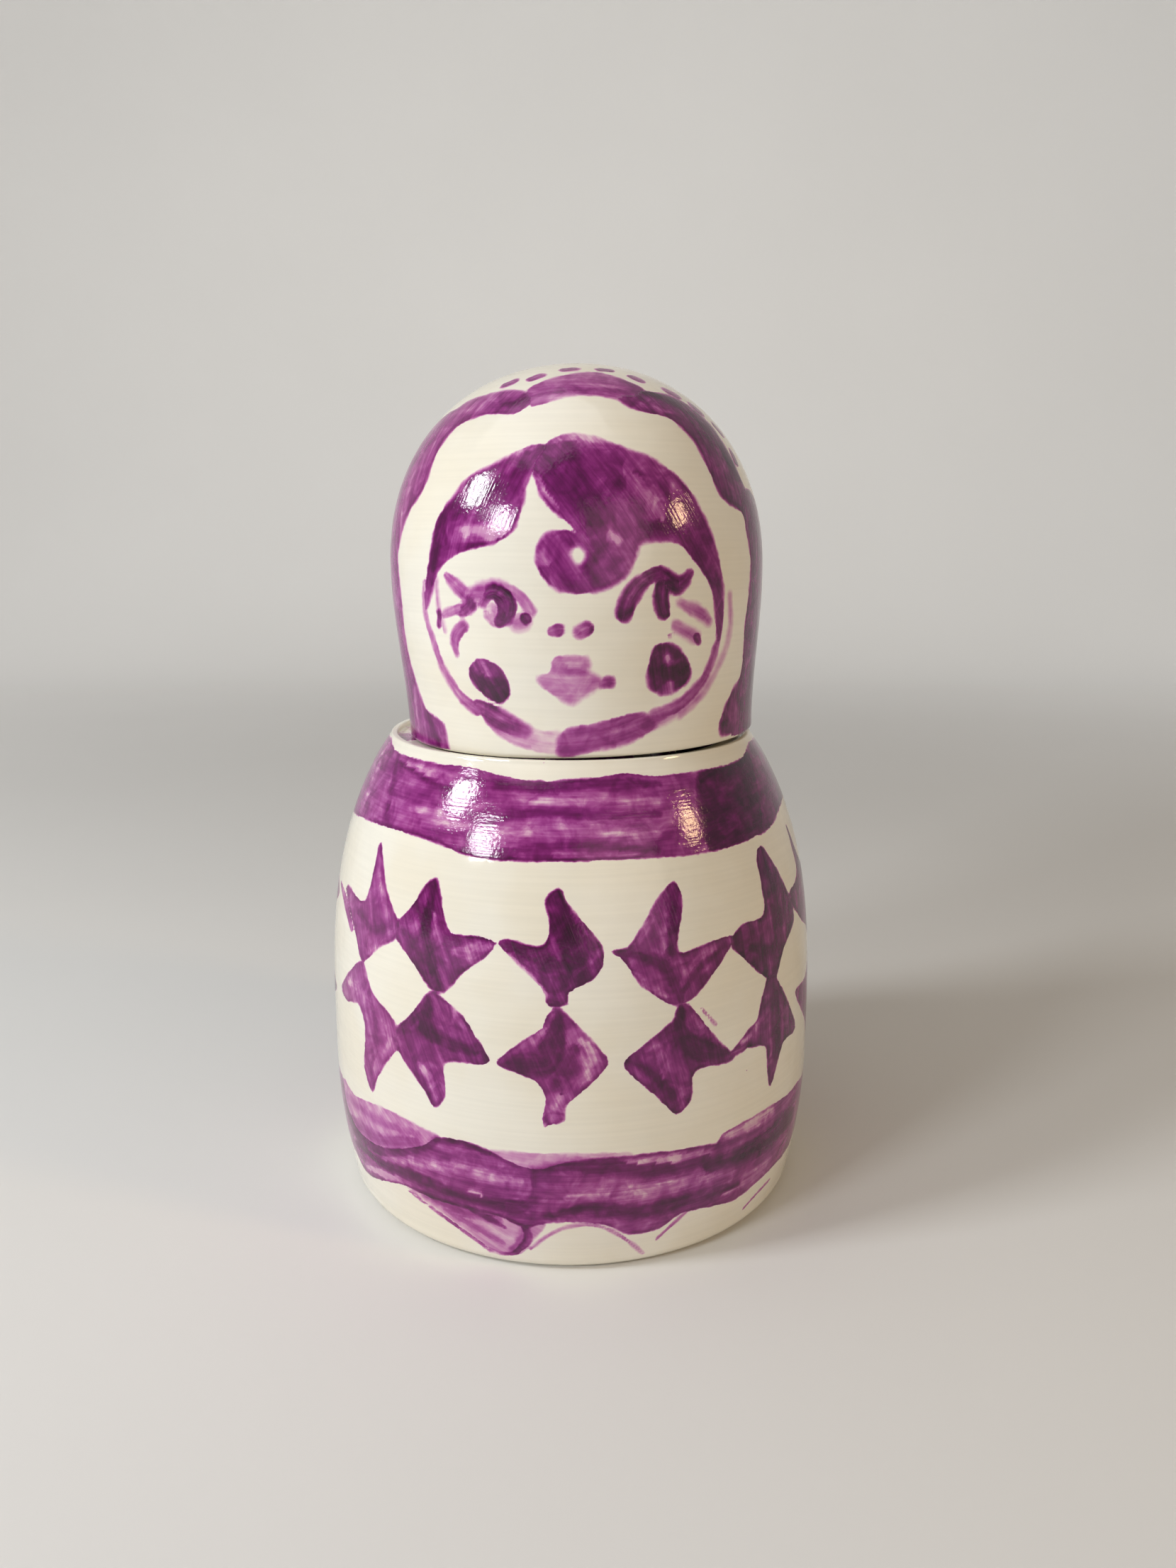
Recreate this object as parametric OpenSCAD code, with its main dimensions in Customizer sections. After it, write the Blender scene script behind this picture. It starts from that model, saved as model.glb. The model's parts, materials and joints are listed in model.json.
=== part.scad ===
// Nesting doll set in glazed slip-cast ceramic.
// Four hollow dolls, each a jar body with a dome head that lies in the gallery of the
// rim as a lid, and one solid innermost doll. Every doll has the outer doll's outline,
// drawn small enough for its belly to pass the mouth of the doll around it.
// Lengths are in millimetres, +Z is up, the foot stands on Z = 0, faces look along -Y.

/* [Outer doll, body] */
// Height of the body from its foot to the crest of its rim
body_h = 91.5; // [84:0.5:105]
// Diameter of the belly at its widest
belly_d = 97.8; // [92:0.2:112]
// Height of the belly's widest ring above the foot
belly_h = 26.7; // [20:0.1:40]
// How far the flank draws in from the belly to the foot
flank_in = 3.3; // [1:0.1:8]
// Radius of the rounded edge round the foot
foot_edge_r = 3; // [1.5:0.1:6]
// Width of the bare ring that the doll stands on
foot_ring_w = 7; // [3:0.5:15]
// Depth of the recess inside the foot ring
recess_depth = 1.2; // [0.4:0.1:2]
// Power of the shoulder curve: more keeps the flank upright for longer
shoulder_fullness = 3.3; // [2:0.1:5]

/* [Outer doll, head] */
// Height of the head from its bottom edge to its crown
head_h = 69; // [60:0.5:80]
// How far the head swells beyond the rim
head_swell = 0.3; // [0:0.05:3]
// Height of the head's widest ring above its bottom edge
head_mid_h = 31.2; // [24:0.1:40]
// Power of the dome curve: 2 is an ellipse, more is squarer
crown_fullness = 2.15; // [1.8:0.05:2.6]
// How far the head has slipped to the right in the gallery, 0 seats it square
head_slip = 2.05; // [0:0.05:2.4]

/* [Dolls, outer doll first] */
// Size of each doll against the outer doll
doll_shares = [1, 0.6155, 0.3717, 0.2141, 0.1113]; // [0.05:0.0001:1]

/* [Walls and rims, outer doll first] */
// Thickness of the walls
walls = [3.2, 2.6, 2, 1.6]; // [1.2:0.1:4]
// Thickness of the lip that stands round the gallery
lip_widths = [1.3, 1.1, 0.9, 0.8]; // [0.6:0.05:2]
// Depth of the gallery below the crest of the lip
gallery_depths = [1, 0.9, 0.8, 0.7]; // [0.5:0.05:1.5]
// Width of the ledge that the head lies on
ledge_widths = [3.8, 2.2, 1.4, 0.9]; // [0.8:0.1:4]
// Height of the straight throat under the ledge
throat_heights = [3, 2.2, 1.6, 1.2]; // [0.8:0.1:4]
// Height over which the throat flares out to the cavity wall
flare_heights = [7, 5, 3.4, 2.2]; // [1.5:0.1:9]
// Thickness of the floor beyond that of the wall
floor_extra = 1.2; // [0.8:0.1:3]
// Radius of the cove between the floor and the wall of the outer doll
cove_r = 5; // [3:0.1:8]
// Depth of the groove at the neck of the solid doll
neck_groove = 0.25; // [0.1:0.05:0.5]

/* [Clearances] */
// Radial gap between a head seated square and its gallery
gallery_gap = 0.4; // [0.2:0.05:0.6]
// Radial gap between a doll's belly and the mouth that it passes
nest_gap = 0.5; // [0.3:0.05:1.2]
// Upright gap between a head and its seat
seat_gap = 0.2; // [0.1:0.05:0.4]
// Upright gap between a doll's foot and the floor that it stands on
stand_gap = 0.15; // [0.05:0.05:0.4]

/* [Hidden] */
glaze_colour = "ivory";
$fn = 96;

// Points on each stretch of an outline
shoulder_steps = 16;
flank_steps = 6;
dome_steps = 16;
neck_steps = 10;
round_steps = 4;

// Rounding of an edge, as a share of the thickness that carries it
edge_round_share = 0.25;

hollow_dolls = len(walls);

function belly_r(i) = belly_d / 2 * doll_shares[i];
function belly_z(i) = belly_h * doll_shares[i];

// The mouth of a hollow doll lets the belly of the next doll pass, and its ledge, gallery
// and lip stand round that mouth
function mouth_r(i) = belly_r(i + 1) + nest_gap;
function bore_r(i) = mouth_r(i) + ledge_widths[i];
function rim_r(i) = i < hollow_dolls
    ? bore_r(i) + lip_widths[i]
    : rim_r(0) * doll_shares[i];
function collar_r(i) = i < hollow_dolls ? bore_r(i) - gallery_gap : rim_r(i) - neck_groove;
function head_r(i) = rim_r(i) + head_swell * doll_shares[i];
function rim_z(i) = body_h * doll_shares[i];
function ledge_z(i) = rim_z(i) - gallery_depths[i];
function floor_z(i) = walls[i] + floor_extra;

// Height of each doll's foot above the outer doll's foot
function stand_z(i) = i == 0 ? 0 : stand_z(i - 1) + floor_z(i - 1) + stand_gap;

function arc_points(centre, radius, from, to) = [
    for (step = [0:round_steps])
        let (turn = from + (to - from) * step / round_steps)
        centre + radius * [cos(turn), sin(turn)]
];

// Radius of doll i's body at height z: flank below the belly, shoulder above it
function body_r(i, z) = z < belly_z(i)
    ? belly_r(i) - flank_in * doll_shares[i] * pow(1 - z / belly_z(i), 2)
    : belly_r(i) - (belly_r(i) - rim_r(i))
        * pow((z - belly_z(i)) / (rim_z(i) - belly_z(i)), shoulder_fullness);

// Recessed foot, rounded foot edge, flank and shoulder of doll i, up to the rim
function body_outside(i) =
    let (
        edge_r = foot_edge_r * doll_shares[i],
        recess = recess_depth * doll_shares[i],
        flat_r = body_r(i, edge_r) - edge_r,
        ring_r = flat_r - foot_ring_w * doll_shares[i]
    )
    concat(
        [[0, recess], [ring_r, recess], [ring_r + recess, 0]],
        arc_points([flat_r, edge_r], edge_r, -90, 0),
        [
            for (step = [1:flank_steps])
                let (z = edge_r + (belly_z(i) - edge_r) * step / flank_steps)
                [body_r(i, z), z]
        ],
        [
            for (step = [1:shoulder_steps - 1])
                let (z = belly_z(i) + (rim_z(i) - belly_z(i)) * step / shoulder_steps)
                [body_r(i, z), z]
        ]
    );

// Rounded lip, gallery, ledge, throat and flare of doll i, down to the cavity wall
function rim_seat(i) =
    let (
        lip_round = lip_widths[i] * edge_round_share,
        mouth_round = gallery_depths[i] * edge_round_share,
        crest_z = rim_z(i) - lip_round
    )
    concat(
        arc_points([rim_r(i) - lip_round, crest_z], lip_round, 0, 90),
        arc_points([bore_r(i) + lip_round, crest_z], lip_round, 90, 180),
        [[bore_r(i), ledge_z(i)]],
        arc_points([mouth_r(i) + mouth_round, ledge_z(i) - mouth_round], mouth_round, 90, 180),
        [[mouth_r(i), ledge_z(i) - throat_heights[i]]]
    );

// Cavity wall, cove and floor of doll i, from the flare down to the axis
function cavity_inside(i) =
    let (
        top_z = ledge_z(i) - throat_heights[i] - flare_heights[i],
        cove = cove_r * doll_shares[i],
        low_z = floor_z(i) + cove,
        wall_steps = shoulder_steps + flank_steps
    )
    concat(
        [
            for (step = [0:wall_steps - 1])
                let (z = top_z + (low_z - top_z) * step / wall_steps)
                [body_r(i, z) - walls[i], z]
        ],
        arc_points([body_r(i, low_z) - walls[i] - cove, low_z], cove, 0, -90),
        [[0, floor_z(i)]]
    );

// Point on a head's neck or dome: wall is what is taken off for the inside
function neck_point(i, z, wall) =
    let (rise_share = (1 - cos(180 * z / (head_mid_h * doll_shares[i]))) / 2)
    [collar_r(i) + (head_r(i) - collar_r(i)) * rise_share - wall, z];
function dome_point(i, turn, wall) =
    let (power = 2 / crown_fullness, mid_z = head_mid_h * doll_shares[i])
    [
        (head_r(i) - wall) * pow(cos(turn), power),
        mid_z + (head_h * doll_shares[i] - mid_z - wall) * pow(sin(turn), power)
    ];

// Neck and dome of doll i from height from_z up to the crown
function head_outside(i, from_z, wall) =
    let (mid_z = head_mid_h * doll_shares[i])
    concat(
        [
            for (step = [0:neck_steps - 1])
                neck_point(i, from_z + (mid_z - from_z) * step / neck_steps, wall)
        ],
        [for (step = [0:dome_steps - 1]) dome_point(i, 90 * step / dome_steps, wall)],
        [[0, head_h * doll_shares[i] - wall]]
    );

function reversed(points) = [for (k = [len(points) - 1:-1:0]) points[k]];

// Jar body of hollow doll i, standing on Z = 0
module jar(i) {
    rotate_extrude()
        polygon(concat(body_outside(i), rim_seat(i), cavity_inside(i)));
}

// Dome head of hollow doll i, its bottom edge on Z = 0
module dome(i) {
    edge_r = walls[i] * edge_round_share;
    inside_r = collar_r(i) - walls[i];
    rotate_extrude()
        polygon(concat(
            arc_points([inside_r + edge_r, edge_r], edge_r, 180, 270),
            arc_points([collar_r(i) - edge_r, edge_r], edge_r, 270, 360),
            head_outside(i, 2 * edge_r, 0),
            reversed(head_outside(i, 2 * edge_r, walls[i]))
        ));
}

// A hollow doll's head seated square in its gallery
module seated_head(i) {
    translate([0, 0, stand_z(i) + ledge_z(i) + seat_gap])
        dome(i);
}

// The outer head as it lies: its left edge in the gallery, its right edge up on the lip
module slipped_head() {
    reach_share = (pow(bore_r(0), 2) - pow(head_slip, 2) - pow(collar_r(0), 2))
        / (2 * max(head_slip, gallery_gap) * collar_r(0));
    left_x = head_slip - collar_r(0);
    lip_x = head_slip + collar_r(0) * reach_share;
    lean = head_slip > gallery_gap ? atan(gallery_depths[0] / (lip_x - left_x)) : 0;
    translate([left_x, 0, ledge_z(0) + seat_gap])
        rotate([0, -lean, 0])
            translate([collar_r(0), 0, 0])
                dome(0);
}

// The solid innermost doll, head and body in one piece
module solid_doll(i) {
    rotate_extrude()
        polygon(concat(
            body_outside(i),
            [[rim_r(i), rim_z(i)]],
            [for (point = head_outside(i, 0, 0)) point + [0, rim_z(i)]]
        ));
}

module outer_body() { color(glaze_colour) jar(0); }
module outer_head() { color(glaze_colour) slipped_head(); }
module second_body() { color(glaze_colour) translate([0, 0, stand_z(1)]) jar(1); }
module second_head() { color(glaze_colour) seated_head(1); }
module third_body() { color(glaze_colour) translate([0, 0, stand_z(2)]) jar(2); }
module third_head() { color(glaze_colour) seated_head(2); }
module fourth_body() { color(glaze_colour) translate([0, 0, stand_z(3)]) jar(3); }
module fourth_head() { color(glaze_colour) seated_head(3); }
module innermost_doll() {
    color(glaze_colour)
        translate([0, 0, stand_z(hollow_dolls)])
            solid_doll(hollow_dolls);
}

outer_body();
outer_head();
second_body();
second_head();
third_body();
third_head();
fourth_body();
fourth_head();
innermost_doll();
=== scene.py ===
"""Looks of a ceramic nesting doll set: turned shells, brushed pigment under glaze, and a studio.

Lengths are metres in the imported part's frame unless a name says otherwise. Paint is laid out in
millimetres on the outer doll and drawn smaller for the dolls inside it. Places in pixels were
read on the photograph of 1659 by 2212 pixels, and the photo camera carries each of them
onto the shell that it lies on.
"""

import json
import logging
import math
from dataclasses import dataclass, field
from enum import Enum
from functools import reduce
from typing import Dict, List, Optional, Sequence, Tuple, Union

import bpy
import numpy as np
from mathutils import Matrix, Vector

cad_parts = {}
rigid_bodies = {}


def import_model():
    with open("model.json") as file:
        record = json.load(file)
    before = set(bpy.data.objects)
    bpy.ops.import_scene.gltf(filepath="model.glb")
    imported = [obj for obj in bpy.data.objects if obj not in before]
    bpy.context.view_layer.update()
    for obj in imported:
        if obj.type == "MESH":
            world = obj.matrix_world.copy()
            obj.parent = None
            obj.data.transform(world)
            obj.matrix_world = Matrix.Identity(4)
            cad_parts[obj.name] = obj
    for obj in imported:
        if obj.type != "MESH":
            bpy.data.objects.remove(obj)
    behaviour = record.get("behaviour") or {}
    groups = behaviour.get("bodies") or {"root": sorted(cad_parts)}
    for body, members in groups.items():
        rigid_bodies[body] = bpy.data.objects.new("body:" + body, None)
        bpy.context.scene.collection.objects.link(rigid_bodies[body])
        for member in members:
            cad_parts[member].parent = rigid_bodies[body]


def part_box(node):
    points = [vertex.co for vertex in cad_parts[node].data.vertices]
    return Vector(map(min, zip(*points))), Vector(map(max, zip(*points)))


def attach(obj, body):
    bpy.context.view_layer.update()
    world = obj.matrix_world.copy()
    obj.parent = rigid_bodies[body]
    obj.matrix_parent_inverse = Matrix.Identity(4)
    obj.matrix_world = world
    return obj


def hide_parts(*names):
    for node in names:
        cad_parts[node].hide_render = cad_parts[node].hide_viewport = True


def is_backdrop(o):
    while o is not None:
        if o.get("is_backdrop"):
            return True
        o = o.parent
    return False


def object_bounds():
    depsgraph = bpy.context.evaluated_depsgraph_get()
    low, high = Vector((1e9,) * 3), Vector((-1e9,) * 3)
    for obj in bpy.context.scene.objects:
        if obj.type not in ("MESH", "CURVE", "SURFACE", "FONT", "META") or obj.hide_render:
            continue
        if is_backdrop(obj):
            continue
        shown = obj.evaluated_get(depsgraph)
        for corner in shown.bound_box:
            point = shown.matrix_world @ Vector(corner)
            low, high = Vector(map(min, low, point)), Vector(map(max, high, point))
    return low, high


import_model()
CAD_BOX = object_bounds()

MM = 0.001
TINY = 1e-9
TINY_SQUARE = 1e-12
PROFILE_POINTS = 400
LOG = logging.getLogger("nesting_dolls")

Array = np.ndarray
Socket = bpy.types.NodeSocket
Pair = Tuple[float, float]
Colour = Tuple[float, float, float, float]
Feed = Union[Socket, float, int, str, Sequence[float]]
Amounts = Union[float, Tuple[float, ...]]


class PaintLayer(Enum):
    """The coats of pigment, in the order that they were brushed on."""

    WASH = "wash"
    BRUSH = "brush"
    LOAD = "load"


@dataclass(frozen=True)
class PhotoCamera:
    """The camera that took the photograph.

    Attributes:
        axis_offset_px: how far left of the picture's middle the doll's axis stands
    """

    width_px: int = 1659
    height_px: int = 2212
    focal_px: float = 1661.0
    stand_off: float = 233.9 * MM
    eye_height: float = 131.25 * MM
    pitch: float = math.radians(12.45)
    axis_offset_px: float = 25.0
    sensor_mm: float = 36.0
    clip_start: float = 0.01

    def axes(self) -> Tuple[Array, Array, Array]:
        """Directions to the picture's right, to its top, and into it.

        Returns:
            Three unit vectors in the part's frame.
        """
        yaw = math.atan(self.axis_offset_px * math.cos(self.pitch) / self.focal_px)
        level = math.cos(self.pitch)
        into = np.array([math.sin(yaw) * level, math.cos(yaw) * level, -math.sin(self.pitch)])
        right = np.array([math.cos(yaw), -math.sin(yaw), 0.0])
        return right, np.cross(right, into), into

    def eye(self) -> Array:
        """The place of the lens."""
        return np.array([0.0, -self.stand_off, self.eye_height])

    def rays(self, pixels: Array) -> Array:
        """Directions through pixels, one unit deep into the picture.

        Args:
            pixels: places on the photograph, one row each

        Returns:
            One direction a row.
        """
        right, up, into = self.axes()
        across = (pixels[:, :1] - self.width_px / 2) / self.focal_px
        rise = (self.height_px / 2 - pixels[:, 1:2]) / self.focal_px
        return into + across * right + rise * up

    def place(self) -> bpy.types.Object:
        """Makes Blender's camera and gives it to the scene.

        Returns:
            The camera object.
        """
        data = bpy.data.cameras.new("photo_camera")
        data.sensor_width = self.sensor_mm
        data.lens = self.focal_px / self.height_px * self.sensor_mm
        data.clip_start = self.clip_start
        camera = bpy.data.objects.new("photo_camera", data)
        right, up, into = (Vector(axis) for axis in self.axes())
        turn = Matrix((right, up, -into)).transposed().to_4x4()
        camera.matrix_world = Matrix.Translation(Vector(self.eye())) @ turn
        bpy.context.scene.collection.objects.link(camera)
        bpy.context.scene.camera = camera
        return camera


@dataclass(frozen=True)
class DollForm:
    """Driving sizes of the outline that all the dolls share, for the outer doll.

    Attributes:
        skin: what a head's outside gives way, so that a smooth crown stays in its solid's box
    """

    belly_h: float = 26.7 * MM
    flank_in: float = 3.3 * MM
    foot_edge_r: float = 3.0 * MM
    foot_ring_w: float = 7.0 * MM
    recess_depth: float = 1.2 * MM
    shoulder_fullness: float = 3.3
    shoulder_end_share: float = 15 / 16
    head_h: float = 69.0 * MM
    head_mid_h: float = 31.2 * MM
    head_swell: float = 0.3 * MM
    crown_fullness: float = 2.15
    head_slip: float = 2.05 * MM
    cove_r: float = 5.0 * MM
    floor_extra: float = 1.2 * MM
    neck_groove: float = 0.25 * MM
    gallery_gap: float = 0.4 * MM
    nest_gap: float = 0.5 * MM
    seat_gap: float = 0.2 * MM
    edge_round_share: float = 0.25
    skin: float = 0.03 * MM


@dataclass(frozen=True)
class RimForm:
    """Wall and rim of one hollow doll."""

    wall: float
    lip: float
    gallery: float
    ledge: float
    throat: float
    flare: float


FORM = DollForm()
RIMS: Dict[str, RimForm] = {
    "outer": RimForm(3.2 * MM, 1.3 * MM, 1.0 * MM, 3.8 * MM, 3.0 * MM, 7.0 * MM),
    "second": RimForm(2.6 * MM, 1.1 * MM, 0.9 * MM, 2.2 * MM, 2.2 * MM, 5.0 * MM),
    "third": RimForm(2.0 * MM, 0.9 * MM, 0.8 * MM, 1.4 * MM, 1.6 * MM, 3.4 * MM),
    "fourth": RimForm(1.6 * MM, 0.8 * MM, 0.7 * MM, 0.9 * MM, 1.2 * MM, 2.2 * MM),
}
INSIDE_OF: Dict[str, str] = {
    "outer": "second_body",
    "second": "third_body",
    "third": "fourth_body",
    "fourth": "innermost_doll",
}


def belly_radius(node: str) -> float:
    """Radius of a doll's belly, from its solid in the frame."""
    low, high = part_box(node)
    return (high.x - low.x) / 2


@dataclass(frozen=True)
class DollSizes:
    """Sizes of one doll, worked out from the frame and the shared form.

    Attributes:
        rim_z: height of the rim above the doll's own foot
    """

    share: float
    stand_z: float
    belly_r: float
    rim_r: float
    rim_z: float
    bore_r: float
    mouth_r: float
    collar_r: float
    rim: Optional[RimForm]

    @classmethod
    def hollow(cls, name: str) -> "DollSizes":
        """Sizes of a hollow doll.

        Args:
            name: the doll's name, which its two nodes start with

        Returns:
            Its sizes.
        """
        low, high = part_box(f"{name}_body")
        rim = RIMS[name]
        mouth_r = belly_radius(INSIDE_OF[name]) + FORM.nest_gap
        bore_r = mouth_r + rim.ledge
        return cls(
            share=belly_radius(f"{name}_body") / belly_radius("outer_body"),
            stand_z=low.z,
            belly_r=belly_radius(f"{name}_body"),
            rim_r=bore_r + rim.lip,
            rim_z=high.z - low.z,
            bore_r=bore_r,
            mouth_r=mouth_r,
            collar_r=bore_r - FORM.gallery_gap,
            rim=rim,
        )

    @classmethod
    def solid(cls, outer: "DollSizes") -> "DollSizes":
        """Sizes of the solid innermost doll.

        Args:
            outer: sizes of the outer doll, whose outline it has

        Returns:
            Its sizes.
        """
        low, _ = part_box("innermost_doll")
        share = belly_radius("innermost_doll") / outer.belly_r
        rim_r = outer.rim_r * share
        return cls(
            share=share,
            stand_z=low.z,
            belly_r=outer.belly_r * share,
            rim_r=rim_r,
            rim_z=outer.rim_z * share,
            bore_r=rim_r,
            mouth_r=rim_r,
            collar_r=rim_r - FORM.neck_groove,
            rim=None,
        )

    @property
    def ledge_z(self) -> float:
        """Height of the ledge above the doll's own foot."""
        return self.rim_z - (self.rim.gallery if self.rim else 0.0)

    @property
    def head_r(self) -> float:
        """Radius of the head at its widest."""
        return self.rim_r + FORM.head_swell * self.share

    def body_r(self, heights: Array) -> Array:
        """Outside radius of the body.

        Args:
            heights: heights above the doll's own foot

        Returns:
            One radius for each height.
        """
        belly_z = FORM.belly_h * self.share
        flank = self.belly_r - FORM.flank_in * self.share * (1 - heights / belly_z) ** 2
        rise = np.clip((heights - belly_z) / (self.rim_z - belly_z), 0.0, None)
        shoulder = self.belly_r - (self.belly_r - self.rim_r) * rise**FORM.shoulder_fullness
        return np.where(heights < belly_z, flank, shoulder)

    def head_points(self, from_z: float, wall: float) -> Array:
        """Neck and dome of the head, from a height up to the crown.

        Args:
            from_z: height above the head's bottom edge to start at
            wall: what is taken off the outside, for the inside

        Returns:
            Radius and height, one row each.
        """
        mid_z = FORM.head_mid_h * self.share
        neck_z = np.linspace(from_z, mid_z, PROFILE_POINTS)
        ease = (1 - np.cos(np.pi * neck_z / mid_z)) / 2
        neck = np.stack([self.collar_r + (self.head_r - self.collar_r) * ease - wall, neck_z], 1)
        turn = np.linspace(0, np.pi / 2, PROFILE_POINTS)[1:]
        power = 2 / FORM.crown_fullness
        round_r = (self.head_r - wall) * np.clip(np.cos(turn), 0, 1) ** power
        dome_h = FORM.head_h * self.share - mid_z - wall
        dome = np.stack([round_r, mid_z + dome_h * np.sin(turn) ** power], 1)
        dome[-1, 0] = 0.0
        return np.concatenate([neck, dome])


@dataclass(frozen=True)
class Stretch:
    """One stretch of an outline.

    Attributes:
        rows: how many rows it takes, or points before they are spread evenly
        bare: how far the clay shows without glaze
        bare_end: the same at its end, where it changes
        painted: 1 on the outside that carries paint
    """

    rows: int = 0
    bare: float = 0.0
    bare_end: Optional[float] = None
    painted: float = 0.0


class Surface(Enum):
    """The stretches of the dolls' outlines."""

    RECESS = Stretch(5, 0.2)
    RING_SIDE = Stretch(4, 0.3, 1.0)
    RING = Stretch(5, 1.0)
    FOOT_EDGE = Stretch(9, 1.0, 0.0, painted=1.0)
    FLANK = Stretch(600, painted=1.0)
    NECK = Stretch(60, 0.0, 0.35, painted=1.0)
    SOLID_NECK = Stretch(40, painted=1.0)
    LIP_OUTSIDE = Stretch(6, 0.45, painted=1.0)
    LIP_INSIDE = Stretch(6, 0.6)
    GALLERY = Stretch(4, 0.9)
    LEDGE = Stretch(6, 1.0)
    MOUTH = Stretch(5, 0.8)
    THROAT = Stretch(4, 0.4, 0.1)
    FLARE = Stretch(6, 0.05)
    INSIDE = Stretch()
    COVE = Stretch(8)
    FLOOR = Stretch(6)
    HEAD_EDGE_INSIDE = Stretch(6, 0.7)
    HEAD_EDGE = Stretch(7, 0.9, 0.2, painted=1.0)
    DOME = Stretch(painted=1.0)


class Outline:
    """The rows of a turned shell: radius, height, and what each row's surface is like."""

    ROW_GAP = 0.004 * MM

    def __init__(self) -> None:
        """Starts with no rows."""
        self.rows: List[Array] = []

    def add(self, points: Array, surface: Surface) -> None:
        """Adds a stretch of rows.

        Args:
            points: radius and height, one row each
            surface: what the stretch is like
        """
        kind = surface.value
        end = kind.bare if kind.bare_end is None else kind.bare_end
        fade = np.linspace(kind.bare, end, len(points))
        self.rows.append(np.column_stack([points, fade, np.full(len(points), kind.painted)]))

    def line(self, start: Pair, end: Pair, surface: Surface) -> None:
        """Adds rows on a straight line between two places of radius and height."""
        self.add(np.linspace(start, end, surface.value.rows), surface)

    def run_on(self, end: Pair, spacing: float, surface: Surface) -> None:
        """Adds rows in even steps on a straight line from the last row to a place."""
        start = self.rows[-1][-1, :2]
        self.add(evenly(np.linspace(start, end, surface.value.rows), spacing), surface)

    def arc(self, centre: Pair, radius: float, angles: Pair, surface: Surface) -> None:
        """Adds rows on an arc.

        Args:
            centre: radius and height of the arc's centre
            radius: the arc's own radius
            angles: where it starts and ends, in degrees
            surface: what the stretch is like
        """
        turn = np.radians(np.linspace(*angles, surface.value.rows))
        self.add(np.array(centre) + radius * np.column_stack([np.cos(turn), np.sin(turn)]), surface)

    def table(self) -> Array:
        """All rows in order, without doubles.

        Returns:
            Radius, height, bare and painted, one row each.
        """
        rows = np.concatenate(self.rows)
        step = np.hypot(*np.diff(rows[:, :2], axis=0).T)
        return rows[np.concatenate([[True], step > self.ROW_GAP])]


def evenly(points: Array, spacing: float) -> Array:
    """Takes points at an even spacing along a line of points.

    Args:
        points: one place a row
        spacing: about how far apart

    Returns:
        New places, with both ends kept.
    """
    along = np.concatenate([[0.0], np.cumsum(np.linalg.norm(np.diff(points, axis=0), axis=1))])
    marks = np.linspace(0.0, along[-1], max(2, int(round(along[-1] / spacing)) + 1))
    return np.column_stack([np.interp(marks, along, column) for column in points.T])


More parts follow.
